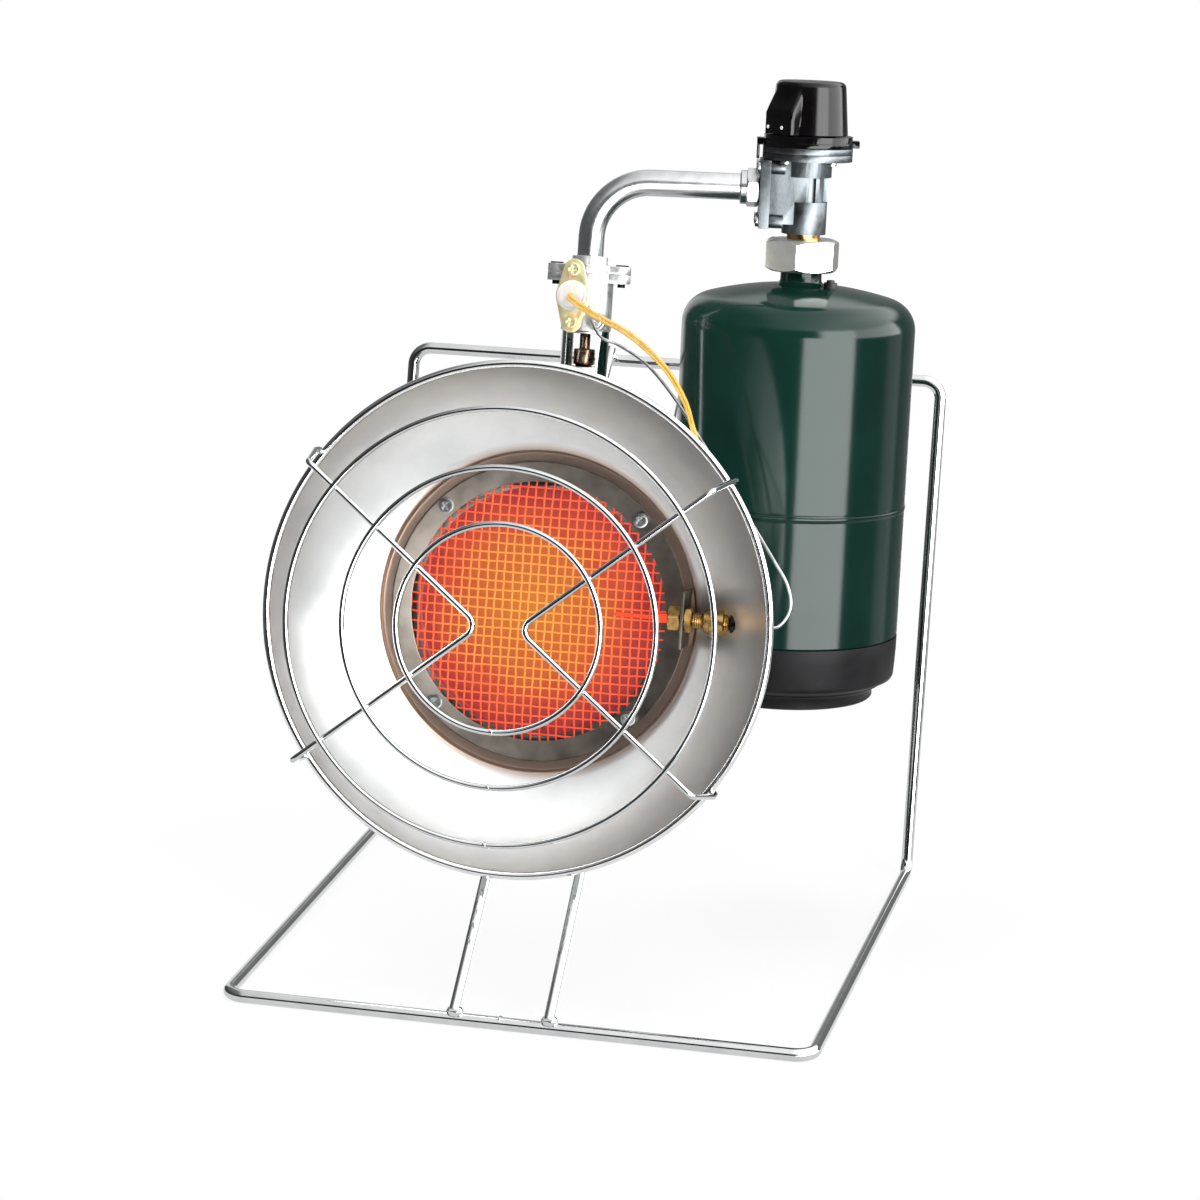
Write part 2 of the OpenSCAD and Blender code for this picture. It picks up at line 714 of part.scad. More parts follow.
module flange_holes() {
    head_frame() for (a = [45:90:315])
        rotate([0, a, 0]) translate([flange_screw_r, floor_depth - cut, 0])
            to_back() cylinder(r = screw_r + fit, h = flange_stack + 2 * cut, $fn = 32);
}
module flange_screws() {
    color("silver") head_frame() for (a = [45:90:315])
        rotate([0, a, 0]) translate([flange_screw_r, floor_depth - ring_t, 0])
            to_front() cross_screw(screw_r, screw_head_r, screw_head_h, flange_stack);
}

module screen_ring() {
    color("silver") difference() {
        spin_about_head() polygon([[screen_r, floor_depth - ring_t], [ring_r, floor_depth - ring_t],
            [ring_r, floor_depth], [screen_r, floor_depth]]);
        flange_holes();
    }
}

// The screen is a flat net of square gaps inside a rim
module burner_screen() {
    half = floor(screen_edge_r / screen_pitch);
    color("orangered") difference() {
        head_frame() translate([0, screen_depth, 0]) to_back() linear_extrude(screen_t) {
            difference() {
                circle(r = ring_r - screen_t);
                circle(r = screen_edge_r - screen_wire);
            }
            intersection() {
                circle(r = screen_edge_r);
                for (i = [-half:half]) {
                    translate([i * screen_pitch, 0]) square([screen_wire, 2 * rim_r], center = true);
                    translate([0, i * screen_pitch]) square([2 * rim_r, screen_wire], center = true);
                }
            }
        }
        flange_holes();
    }
}

module baffle_plate() {
    color("darkgray") head_frame() translate([0, baffle_depth, 0]) to_back() difference() {
        cylinder(r = pan_r - pan_t - seat, h = baffle_t);
        for (ring = baffle_rings, k = [0:max(1, 6 * ring) - 1])
            rotate([0, 0, 360 * k / max(1, 6 * ring)]) translate([ring * baffle_step, 0, -cut])
                cylinder(r = baffle_hole_r, h = baffle_t + 2 * cut, $fn = 24);
    }
}

module burner_pan() {
    lip = pan_front + pan_t;
    color("silver") difference() {
        spin_about_head() polygon([[pan_r - pan_t, pan_front], [ring_r, pan_front], [ring_r, lip], [pan_r, lip],
            [pan_r, pan_knee], [pan_back_r, pan_back], [mix_r + fit, pan_back],
            [mix_r + fit, pan_back - pan_t], [pan_back_r - pan_t / 2, pan_back - pan_t],
            [pan_r - pan_t, pan_knee]]);
        flange_holes();
        bracket_holes(screw_r + fit);
    }
}

module mixing_tube() {
    mouth = [0, mix_depth, valve_foot];
    knee = [0, mix_depth, 0];
    end = [0, pan_back - pan_t, 0];
    color("silver") head_frame() difference() {
        wire_run([mouth, knee, end], mix_r, [0, mix_bend_r, 0]);
        wire_run([mouth + [0, 0, cut], knee, end - [0, cut, 0]], mix_r - mix_t, [0, mix_bend_r, 0]);
        translate([-air_w / 2, mix_depth - 2 * mix_r, valve_foot - mix_t - air_h]) cube([air_w, 4 * mix_r, air_h]);
    }
}

module orifice_jet() {
    foot = valve_foot - jet_neck - jet_cap_h;
    color("goldenrod") valve_frame() difference() {
        union() {
            translate([0, 0, foot + jet_cap_h]) cylinder(r = jet_r, h = jet_neck + jet_thread, $fn = 32);
            translate([0, 0, foot + jet_edge]) cylinder(r = jet_cap_r, h = jet_cap_h - jet_edge, $fn = 48);
            translate([0, 0, foot]) cylinder(r = jet_cap_r - jet_edge, h = 2 * jet_edge, $fn = 48);
        }
        translate([0, 0, foot - cut]) cylinder(r = jet_hole_r, h = 4 * jet_neck, $fn = 16);
    }
}

module guard_v(side) {
    a = guard_corner_angle;
    function on_rim(s, r, depth) = [side * r * cos(a), depth, s * r * sin(a)];
    function leg(s) = [on_rim(s, hook_end_r, hook_depth), on_rim(s, hook_r, hook_depth),
        on_rim(s, hook_r, -2 * rim_roll_r), on_rim(s, guard_corner_r, -guard_front)];
    up = leg(1);
    down = leg(-1);
    path = concat(up, [[side * guard_point_x, -guard_front, 0]], [down[3], down[2], down[1], down[0]]);
    bends = [0, hook_bend, guard_corner_bend, guard_corner_bend, guard_point_bend,
        guard_corner_bend, guard_corner_bend, hook_bend, 0];
    color("silver") head_frame() wire_run(path, guard_r, bends);
}
module guard_v_left() { guard_v(-1); }
module guard_v_right() { guard_v(1); }

module guard_ring(r) {
    color("silver") spin_about_head() translate([r, -ring_front]) circle(r = guard_r, $fn = wire_fn);
}
module guard_ring_outer() { guard_ring(guard_outer_r); }
module guard_ring_middle() { guard_ring(guard_middle_r); }
module guard_ring_inner() { guard_ring(guard_inner_r); }

// The flame sensor lies along X in the bowl
module sensor_frame() { head_frame() translate([0, sensor_depth, sensor_z]) rotate([0, 90, 0]) children(); }
module thermocouple_probe() {
    color("goldenrod") sensor_frame() {
        translate([0, 0, sensor_tip_x - needle_l]) cylinder(r = needle_r, h = needle_l, $fn = 24);
        translate([0, 0, sensor_tip_x]) cylinder(r = sensor_tip_r, h = sensor_tip_l, $fn = 32);
        translate([0, 0, sensor_barrel_x]) cylinder(r = sensor_barrel_r, h = sensor_end_x - sensor_barrel_x, $fn = 32);
    }
}
module thermocouple_nuts() {
    color("goldenrod") sensor_frame() difference() {
        union() {
            translate([0, 0, sensor_barrel_x]) cylinder(r = sensor_nut_r, h = sensor_plate_x - sensor_barrel_x, $fn = 6);
            translate([0, 0, sensor_plate_x + sensor_plate_t]) cylinder(r = sensor_nut_r, h = 0.6 * sensor_nut_r, $fn = 6);
        }
        cylinder(r = sensor_barrel_r + fit, h = 2 * rim_r, $fn = 32);
    }
}
module thermocouple_bracket() {
    color("silver") difference() {
        head_frame() translate([sensor_plate_x, sensor_depth - sensor_nut_r, sensor_z - sensor_plate_h / 2])
            cube([sensor_plate_t, floor_depth - sensor_depth + sensor_nut_r, sensor_plate_h]);
        sensor_frame() cylinder(r = sensor_barrel_r + fit, h = 2 * rim_r, $fn = 32);
    }
}
module junction_sleeve() {
    color("black") sensor_frame() difference() {
        translate([0, 0, sleeve_x]) cylinder(r = sleeve_r, h = sleeve_l, $fn = 32);
        cylinder(r = sensor_barrel_r + fit, h = sensor_end_x + seat, $fn = 32);
    }
}

// Ends of the leads, on the sleeve, the nut and the switch
capillary_start = head_point([sleeve_end, sensor_depth, sensor_z]);
capillary_end = head_point([lead_x, mix_depth - switch_face - lead_nut_l - 2 * seat, lead_z]);
capillary_route = [[84, -68, 151], [88, -66, 158], [86, -64, 167], [80, -60, 175], [70, -50, 186], [58, -40, 200],
    [44, -30, 216], [30, -18, 231], [16, -8, 243], [3, -4, 250], [-5, -4, 253]];
module thermocouple_lead() {
    route = concat([capillary_start, capillary_start + [lead_straight, 0, 0]], capillary_route,
        [capillary_end - lead_straight * head_back, capillary_end]);
    color("silver") lead(smooth_route(route, 3), capillary_r);
}
switch_lead_route = [[-19, 2, 267], [-9, -2, 262], [9, -10, 255], [25, -19, 244], [35, -26, 232],
    [40, -31, 221], [44, -35, 213], [52, -42, 198], [60, -50, 182], [66, -57, 168], [69, -62, 158]];
lead_pair = 0.95;
module switch_leads() {
    start = head_point([-switch_off, mix_depth - switch_face - plate_t - switch_t, switch_z]);
    end = head_point([sleeve_x + sleeve_l / 2, sensor_depth, sensor_z + sleeve_r + seat]);
    color("gold") for (side = [-1, 1]) {
        shift = side * lead_pair * [0.4, 0, 0.9];
        tail = side * lead_pair * [1, 0, 0];
        route = concat([start + shift, start + shift - lead_straight * head_back],
            [for (p = switch_lead_route) p + shift], [end + tail + lead_straight * head_up, end + tail]);
        lead(smooth_route(route, 3), capillary_r);
    }
}

module lead_nut() {
    color("gray") valve_frame() translate([lead_x, -switch_face, lead_z]) to_front()
        cylinder(r = lead_nut_r, h = lead_nut_l, $fn = 6);
}

// The valve's casting: barrel, lugs, and bosses for the switch, the sensor and the button
module lugs(foot, h) {
    for (side = [-1, 1])
        translate([side * (lug_span - lug_w) / 2, 0, foot]) cylinder(r = lug_w / 2, h = h, $fn = 32);
    translate([-(lug_span - lug_w) / 2, -lug_w / 2, foot]) cube([lug_span - lug_w, lug_w, h]);
    translate([0, 0, foot]) cylinder(r = valve_r, h = h);
}
module lug_holes() {
    for (side = [-1, 1])
        translate([side * lug_pitch / 2, 0, lug_z - cut]) cylinder(r = lug_screw_r + fit, h = lug_h + 2 * cut, $fn = 32);
}
module valve_body() {
    color("silver") valve_frame() difference() {
        union() {
            translate([0, 0, valve_foot]) cylinder(r = valve_r, h = valve_barrel_h);
            lugs(lug_z, lug_h / 2);
            for (s = [-1, 1])
                translate([-switch_off, 0, switch_z + 0.45 * s * plate_screw_h]) to_front()
                    cylinder(r = plate_end_r, h = switch_face, $fn = 32);
            translate([-switch_off, 0, switch_z]) to_front()
                cylinder(r = plate_end_r + switch_boss_rim, h = switch_face, $fn = 32);
            for (s = [-1, 1])
                translate([-switch_off, -notch_y, switch_z + s * plate_screw_h]) to_front()
                    cylinder(r = plate_boss_r, h = switch_face - notch_y, $fn = 32);
            translate([lead_x, 0, lead_z]) to_front() cylinder(r = lead_boss_r, h = switch_face, $fn = 32);
            translate([0, 0, button_z]) to_back() cylinder(r = button_boss_r, h = button_face, $fn = 48);
        }
        lug_holes();
        translate([0, 0, valve_foot - cut]) cylinder(r = jet_r + fit, h = jet_thread + 2 * cut, $fn = 32);
        plate_holes();
        translate([0, button_face - button_gap - 2 * button_travel, button_z]) to_back()
            cylinder(r = button_stem_r + fit, h = button_gap + 3 * button_travel, $fn = 32);
    }
}
module valve_cap() {
    color("gainsboro") valve_frame() difference() {
        union() {
            lugs(lug_split + seat / 2, lug_h / 2 - seat / 2);
            translate([0, 0, lug_split + seat / 2]) cylinder(r = tube_r + socket_wall, h = lug_h);
        }
        lug_holes();
        translate([0, 0, lug_split]) cylinder(r = tube_r + fit, h = 2 * lug_h, $fn = 48);
        translate([-switch_off - plate_end_r, seat - notch_y - 2 * valve_r, lug_split - cut])
            cube([2 * plate_end_r, 2 * valve_r, 2 * lug_h]);
    }
}
module lug_screws() {
    color("black") valve_frame() for (side = [-1, 1])
        translate([side * lug_pitch / 2, 0, valve_top])
            cross_screw(lug_screw_r, 1.7 * lug_screw_r, lug_head_h, lug_h + lug_screw_tip);
}

// The oval switch plate: a round middle and two round ends with straight flanks
module switch_outline() {
    flank = asin((plate_r - plate_end_r) / plate_screw_h);
    big = plate_r * [cos(flank), sin(flank)];
    small = [plate_end_r * cos(flank), plate_screw_h + plate_end_r * sin(flank)];
    circle(r = plate_r, $fn = 48);
    for (s = [-1, 1]) translate([0, s * plate_screw_h]) circle(r = plate_end_r, $fn = 32);
    polygon([big, small, [-small[0], small[1]], [-big[0], big[1]], -big, -small, [small[0], -small[1]],
        [big[0], -big[1]]]);
}
module plate_holes() {
    for (s = [-1, 1])
        translate([-switch_off, -switch_face - plate_t - cut, switch_z + s * plate_screw_h])
            to_back() cylinder(r = screw_r + fit, h = plate_shank + 2 * cut, $fn = 32);
}
module switch_plate() {
    color("khaki") valve_frame() difference() {
        translate([-switch_off, -switch_face, switch_z]) to_front() linear_extrude(plate_t) switch_outline();
        plate_holes();
    }
}
module plate_screws() {
    color("khaki") valve_frame() for (s = [-1, 1])
        translate([-switch_off, -switch_face - plate_t, switch_z + s * plate_screw_h])
            to_front() cross_screw(screw_r, 0.9 * screw_head_r, screw_head_h, plate_shank);
}
module tilt_switch() {
    color("white") valve_frame() translate([-switch_off, -switch_face - plate_t, switch_z]) to_front() {
        cylinder(r = switch_r, h = 0.6 * switch_t);
        cylinder(r = 0.8 * switch_r, h = switch_t);
    }
}
module push_button() {
    stem = button_gap + button_travel + button_tail;
    color("firebrick") valve_frame() translate([0, button_face + button_gap, button_z]) to_back() {
        cylinder(r = button_r, h = button_h, $fn = 48);
        translate([0, 0, -stem]) cylinder(r = button_stem_r, h = stem, $fn = 32);
    }
}
module button_spring() {
    color("silver") valve_frame() translate([0, button_face + seat / 2, button_z]) to_back()
        spring(spring_r, spring_wire_r, button_gap - seat, 4);
}

// The tube's far end turns in the regulator, behind a rolled bead
module gas_tube() {
    end = reg_c - tube_aim * socket_end;
    bead = reg_c - tube_aim * (side_x + bead_l + seat);
    color("silver") difference() {
        union() {
            wire_run([tube_foot, tube_corner, end], tube_r, [0, tube_bend_r, 0]);
            rod(bead, bead + tube_aim * bead_l, bead_r);
        }
        wire_run([tube_foot - head_up * cut, tube_corner, end + tube_aim * cut], tube_r - tube_t, [0, tube_bend_r, 0]);
    }
}
// Shapes along the tube's axis, measured from the regulator's axis to the left
module along_union(x) { translate([-x, 0, 0]) rotate([0, -90, 0]) children(); }
module union_nut() {
    color("silver") regulator_frame() along_union(side_x) difference() {
        union() {
            cylinder(r = union_r, h = 0.7 * union_l, $fn = 6);
            cylinder(r = 0.84 * union_r, h = union_l, $fn = 48);
        }
        translate([0, 0, -cut]) cylinder(r = tube_r + fit, h = union_l + 2 * cut, $fn = 48);
        translate([0, 0, -cut]) cylinder(r = bead_r + fit, h = bead_l + 2 * seat + cut, $fn = 48);
    }
}
seal_x = 13.6;
seal_w = 1.2;
seal_t = 1.4;
module union_seal() {
    color("black") regulator_frame() along_union(seal_x) difference() {
        cylinder(r = tube_r + fit + seal_w, h = seal_t, $fn = 48);
        translate([0, 0, -cut]) cylinder(r = tube_r + fit, h = seal_t + 2 * cut, $fn = 48);
    }
}
module side_screw_places() {
    for (s = [-1, 1], z = side_screw_z) translate([-side_x, s * side_screw_y, z]) rotate([0, -90, 0]) children();
}
module side_plate() {
    color("silver") regulator_frame() difference() {
        translate([-side_x, -side_w / 2, side_top - side_h]) cube([side_t, side_w, side_h]);
        along_union(block_x - cut) cylinder(r = tube_r + fit, h = side_t + 2 * cut, $fn = 48);
        side_screw_places() translate([0, 0, -side_t - cut]) cylinder(r = screw_r + fit, h = side_t + 2 * cut, $fn = 32);
    }
}
module side_plate_screws() {
    color("dimgray") regulator_frame() side_screw_places()
        cross_screw(screw_r, side_head_r, side_head_h, side_t + side_grip);
}

rib_t = 1.8;
module regulator_body() {
    color("silver") regulator_frame() difference() {
        union() {
            translate([0, 0, barrel_foot]) cylinder(r = barrel_r, h = barrel_h);
            translate([0, 0, waist_foot]) cylinder(r = waist_r, h = waist_h);
            translate([0, 0, boss_foot]) cylinder(r = boss_r, h = boss_h);
            translate([0, 0, flange_foot]) cylinder(r = flange_r, h = flange_h);
            for (a = [-60, 0, 60])
                rotate([0, 0, a]) translate([0, -rib_t / 2, waist_foot]) cube([barrel_r, rib_t, waist_h]);
            translate([-block_x, block_in - side_w / 2, side_top - side_h + block_rise])
                cube([block_x, side_w - 2 * block_in, side_h - block_rise - block_drop]);
            for (s = [-1, 1], z = side_screw_z)
                translate([-block_x, s * side_screw_y, z]) rotate([0, 90, 0])
                    cylinder(r = side_boss_r, h = side_boss_l, $fn = 32);
        }
        along_union(socket_end - seat) cylinder(r = tube_r + fit, h = block_x, $fn = 48);
        along_union(seal_x) cylinder(r = tube_r + fit + seal_w, h = seal_t, $fn = 48);
        side_screw_places() translate([0, 0, -side_t - side_grip - seat])
            cylinder(r = screw_r + fit, h = side_t + side_grip, $fn = 32);
        translate([0, 0, bonnet_foot - membrane_t]) cylinder(r = membrane_r + fit, h = membrane_t + cut);
        translate([0, 0, flange_foot - chamber_drop]) cylinder(r = membrane_r - chamber_in, h = flange_h + 2 * chamber_drop);
        translate([0, 0, barrel_foot - cut]) cylinder(r = stem_spigot_r + fit, h = stem_spigot_h + cut + seat, $fn = 48);
        bonnet_screw_places() translate([0, 0, -cut]) cylinder(r = bonnet_screw_r + fit, h = flange_h + 2 * cut, $fn = 24);
    }
}
module bonnet_screw_places() {
    for (s = [-1, 1], a = [bonnet_screw_turn, 180 - bonnet_screw_turn])
        rotate([0, 0, s * a]) translate([bonnet_screw_at, 0, flange_foot]) children();
}
module diaphragm() {
    color("black") regulator_frame() translate([0, 0, bonnet_foot - membrane_t]) cylinder(r = membrane_r, h = membrane_t);
}
module regulator_spring() {
    color("silver") regulator_frame() translate([0, 0, bonnet_foot + seat])
        spring(0.62 * dome_r, range_wire_r, cap_z - bonnet_foot - 2 * seat, 5);
}
module spring_cap() {
    color("goldenrod") regulator_frame() translate([0, 0, cap_z])
        cylinder(r = dome_r - dome_wall - seat, h = cap_t, $fn = 48);
}
module bonnet() {
    color("silver") regulator_frame() difference() {
        union() {
            translate([0, 0, bonnet_foot]) cylinder(r = flange_r, h = bonnet_h);
            translate([0, 0, bonnet_foot]) cylinder(r = dome_r, h = dome_top - bonnet_foot);
        }
        translate([0, 0, bonnet_foot - cut]) cylinder(r = dome_r - dome_wall, h = dome_top - bonnet_foot - dome_wall + cut);
        cylinder(r = shaft_r + fit, h = 2 * knob_top, $fn = 48);
        bonnet_screw_places() cylinder(r = bonnet_screw_r + fit, h = flange_h + bonnet_h - bonnet_blind, $fn = 24);
    }
}
module bonnet_screws() {
    color("dimgray") regulator_frame() bonnet_screw_places() mirror([0, 0, 1])
        cross_screw(bonnet_screw_r, 1.7 * bonnet_screw_r, bonnet_head_h, flange_h + bonnet_h - 2 * bonnet_blind);
}
module knob_bezel() {
    tab_w = 9;
    tab_t = 0.62 * bezel_h;
    hook_w = 5;
    hook_t = 1.2;
    rim_rise = 0.6;
    color("black") regulator_frame() difference() {
        union() {
            translate([0, 0, bezel_foot]) cylinder(r = bezel_r, h = bezel_h);
            translate([0, 0, bezel_foot]) cylinder(r = bezel_r + rim_rise, h = 0.4 * bezel_h);
            for (s = [-1, 1])
                translate([s > 0 ? 0 : -tab_r, -tab_w / 2, bezel_foot]) cube([tab_r, tab_w, tab_t]);
            translate([-tab_r, -hook_w / 2, flange_foot]) cube([hook_t, hook_w, bezel_foot - flange_foot + tab_t]);
        }
        translate([0, 0, bezel_foot - cut]) cylinder(r = dome_r + 3 * seat, h = bezel_h + 2 * cut);
    }
}
module knob_shaft() {
    color("gray") regulator_frame() translate([0, 0, cap_z + cap_t + seat])
        cylinder(r = shaft_r, h = knob_top - shaft_drop - cap_z - cap_t - seat, $fn = 48);
}
module control_knob() {
    hollow_gap = 1.6;
    roof_gap = 1;
    round_h = 1.2;
    wedge_rise = 0.4;
    wedge_edge = 1;
    slope = (knob_foot_r - knob_top_r) / knob_h;
    color("black") regulator_frame() difference() {
        union() {
            translate([0, 0, knob_foot]) cylinder(r1 = knob_foot_r, r2 = knob_top_r + slope * round_h, h = knob_h - round_h);
            translate([0, 0, knob_top - round_h])
                cylinder(r1 = knob_top_r + slope * round_h, r2 = knob_top_r - round_h / 2, h = round_h);
            translate([0, wedge_w / 2, 0]) rotate([90, 0, 0]) linear_extrude(wedge_w)
                polygon([[0, knob_foot], [-wedge_foot, knob_foot], [-wedge_foot, knob_foot + 0.14 * knob_h],
                    [-knob_top_r - wedge_rise, knob_top - 0.08 * knob_h],
                    [-knob_top_r + wedge_edge, knob_top], [0, knob_top]]);
        }
        translate([0, 0, knob_foot - cut]) cylinder(r = dome_r + hollow_gap, h = dome_top + roof_gap - knob_foot + cut);
        translate([0, 0, knob_foot]) cylinder(r = shaft_r + fit, h = knob_h - shaft_drop + seat, $fn = 48);
    }
}

module inlet_stem() {
    color("goldenrod") regulator_frame() difference() {
        union() {
            translate([0, 0, barrel_foot]) cylinder(r = stem_spigot_r, h = stem_spigot_h, $fn = 48);
            translate([0, 0, thread_top]) cylinder(r = stem_r, h = barrel_foot - thread_top);
            translate([0, 0, thread_top]) cylinder(r = collar_r, h = collar_t);
        }
        translate([0, 0, thread_top - cut]) cylinder(r = stem_bore_r, h = -thread_top, $fn = 32);
    }
}
// The hexagon's corners are turned off in a chamfer at both ends
module cylinder_nut() {
    corner_r = nut_r - 2 * seat;
    face_r = 0.96 * nut_r * cos(30);
    bevel = (corner_r - face_r) * tan(30);
    color("gainsboro") regulator_frame() difference() {
        intersection() {
            translate([0, 0, nut_foot]) rotate([0, 0, nut_turn]) cylinder(r = nut_r, h = nut_h, $fn = 6);
            rotate_extrude() polygon([[0, nut_foot], [face_r, nut_foot], [corner_r, nut_foot + bevel],
                [corner_r, nut_top - bevel], [face_r, nut_top], [0, nut_top]]);
        }
        translate([0, 0, nut_foot - cut]) cylinder(r = thread_r + fit, h = thread_top - nut_foot + cut);
        translate([0, 0, thread_top - cut]) cylinder(r = collar_r + fit, h = collar_t + cut + fit);
        translate([0, 0, thread_top]) cylinder(r = stem_r + fit, h = nut_h);
    }
}
module inlet_gasket() {
    color("black") regulator_frame() translate([0, 0, thread_top - gasket_t]) difference() {
        cylinder(r = collar_r, h = gasket_t);
        translate([0, 0, -cut]) cylinder(r = stem_bore_r + gasket_in, h = gasket_t + 2 * cut);
    }
}
module depressor_pin() {
    web = 2;
    color("goldenrod") regulator_frame() {
        translate([0, 0, core_top + 3 * seat]) cylinder(r = pin_r, h = thread_top + web - core_top - 3 * seat, $fn = 32);
        translate([0, 0, thread_top + web]) cylinder(r = stem_bore_r - fit, h = web, $fn = 32);
    }
}

// The cylinder: a shell of even thickness with domed ends
function crown_r(r, k, h) = (pow(h, 2) + pow(r - k, 2) - pow(k, 2)) / (2 * (h - k));
function dome_half(r, k, h, inset) =
    let (c = crown_r(r, k, h), lean = asin((r - k) / (c - k)))
    concat(arc([r - k, 0], k - inset, 0, 90 - lean, arc_steps),
        arc([0, h - c], c - inset, 90 - lean, 90 - asin(neck_r / c), arc_steps));
function flip(points) = [for (i = [len(points) - 1:-1:0]) points[i]];
function lifted(points, z) = [for (p = points) [p[0], p[1] + z]];
function mirrored(points, z) = [for (p = points) [p[0], z - p[1]]];
module relief_place() {
    a = -reg_yaw - 15;
    regulator_frame() translate([relief_x * cos(a), relief_x * sin(a), dome_apex - neck_sunk]) children();
}
module cylinder_shell() {
    hole = neck_r + fit;
    top_out = [for (p = lifted(dome_half(cyl_r, knuckle_r, dome_h, 0), shoulder_z)) [max(p[0], hole), p[1]]];
    top_in = [for (p = lifted(dome_half(cyl_r, knuckle_r, dome_h, cyl_t), shoulder_z)) [max(p[0], hole), p[1]]];
    low_out = mirrored(dome_half(base_r, knuckle_r, base_h, 0), base_z);
    low_in = mirrored(dome_half(base_r, knuckle_r, base_h, cyl_t), base_z);
    out_end = low_out[len(low_out) - 1];
    in_end = low_in[len(low_in) - 1];
    color("darkgreen") difference() {
        regulator_frame() rotate_extrude(convexity = 6)
            polygon(concat([[0, out_end[1]]], flip(low_out), [[base_r, cup_top], [cyl_r, cup_top],
                [cyl_r, seam_z - seam_h / 2], [cyl_r + seam_rise, seam_z - seam_h / 4],
                [cyl_r + seam_rise, seam_z + seam_h / 4], [cyl_r, seam_z + seam_h / 2]],
                top_out, flip(top_in), [[cyl_r - cyl_t, cup_top + cyl_t], [base_r - cyl_t, cup_top + cyl_t - seat]],
                low_in, [[0, in_end[1]]]));
        relief_place() cylinder(r = relief_r + fit, h = neck_sunk + 2 * cut, $fn = 32);
    }
}
module cylinder_neck() {
    color("darkgreen") regulator_frame() difference() {
        union() {
            translate([0, 0, thread_foot]) cylinder(r = thread_r, h = neck_top - thread_foot);
            translate([0, 0, dome_apex - neck_sunk]) cylinder(r = neck_r, h = neck_top - dome_apex + neck_sunk);
        }
        translate([0, 0, dome_apex - 2 * dome_h]) cylinder(r = neck_bore_r, h = 4 * dome_h);
    }
}
module valve_core() {
    color("goldenrod") regulator_frame() {
        translate([0, 0, core_top - core_h]) cylinder(r = neck_bore_r - fit, h = core_h, $fn = 48);
    }
}
module relief_valve() {
    color("black") relief_place() difference() {
        union() {
            cylinder(r = relief_r, h = relief_h, $fn = 32);
            cylinder(r = 0.6 * relief_r, h = relief_h + relief_tip, $fn = 32);
        }
        translate([0, 0, relief_h - relief_slot]) cylinder(r = 0.3 * relief_r, h = relief_tip + 2 * cut, $fn = 24);
    }
}
module foot_cup() {
    inner_r = base_r + seat;
    wall = 1.8;
    band_h = 5;
    brim_drop = 16.2;
    brim = cup_top - brim_drop;
    ledge_w = 1.4;
    foot_top = cup_foot + foot_h;
    groove = 0.5;
    color("dimgray") regulator_frame() rotate_extrude(convexity = 6)
        polygon([[cyl_r, cup_top - seat], [cyl_r, cup_top - band_h], [cyl_r - groove, brim],
            [foot_r + ledge_w, foot_top + groove], [foot_r + ledge_w, foot_top], [foot_r, foot_top],
            [foot_r, cup_foot], [foot_r - 2 * wall, cup_foot],
            [foot_r - 2 * wall, foot_top + wall], [foot_r - groove, foot_top + wall],
            [cyl_r - groove - wall, brim], [inner_r, brim + wall], [inner_r, cup_top - seat]]);
}

stand_wire();
stand_struts();
burner_bracket();
bracket_screws();
reflector_dish();
screen_ring();
burner_screen();
flange_screws();
baffle_plate();
burner_pan();
mixing_tube();
orifice_jet();
guard_v_left();
guard_v_right();
guard_ring_outer();
guard_ring_middle();
guard_ring_inner();
thermocouple_probe();
thermocouple_nuts();
thermocouple_bracket();
junction_sleeve();
thermocouple_lead();
lead_nut();
valve_body();
valve_cap();
lug_screws();
switch_plate();
plate_screws();
tilt_switch();
switch_leads();
push_button();
button_spring();
gas_tube();
union_nut();
union_seal();
side_plate();
side_plate_screws();
regulator_body();
diaphragm();
regulator_spring();
spring_cap();
bonnet();
bonnet_screws();
knob_bezel();
knob_shaft();
control_knob();
inlet_stem();
cylinder_nut();
inlet_gasket();
depressor_pin();
cylinder_shell();
cylinder_neck();
valve_core();
relief_valve();
foot_cup();
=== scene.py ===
"""Portable propane heater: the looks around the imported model.

Lengths in this file are in millimetres, and become metres where a mesh is written.
"""
import math

import bmesh
import bpy
import numpy as np
from mathutils import Matrix, Vector


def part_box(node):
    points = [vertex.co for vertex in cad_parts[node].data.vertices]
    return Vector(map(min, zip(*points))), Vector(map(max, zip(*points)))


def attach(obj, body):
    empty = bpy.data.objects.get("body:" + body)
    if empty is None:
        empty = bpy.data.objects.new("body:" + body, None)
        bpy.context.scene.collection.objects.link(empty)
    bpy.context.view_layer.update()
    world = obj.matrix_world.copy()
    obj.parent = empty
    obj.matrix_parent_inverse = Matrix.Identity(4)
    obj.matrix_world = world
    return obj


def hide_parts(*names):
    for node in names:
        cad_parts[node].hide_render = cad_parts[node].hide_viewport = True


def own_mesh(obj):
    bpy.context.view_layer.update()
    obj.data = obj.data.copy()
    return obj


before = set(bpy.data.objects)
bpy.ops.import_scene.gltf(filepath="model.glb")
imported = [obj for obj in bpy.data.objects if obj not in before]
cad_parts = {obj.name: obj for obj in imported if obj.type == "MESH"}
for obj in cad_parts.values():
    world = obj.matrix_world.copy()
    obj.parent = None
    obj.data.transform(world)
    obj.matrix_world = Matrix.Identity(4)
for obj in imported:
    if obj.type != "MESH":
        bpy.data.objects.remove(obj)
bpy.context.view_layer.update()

MM = 0.001
pi = math.pi


# Places on the heater

def vec(*xyz):
    """A point or a direction."""
    return np.array(xyz, float)


def unit(v):
    """v divided by its length."""
    v = np.asarray(v, float)
    return v / np.linalg.norm(v, axis=-1, keepdims=True)


X, Y, Z = vec(1, 0, 0), vec(0, 1, 0), vec(0, 0, 1)

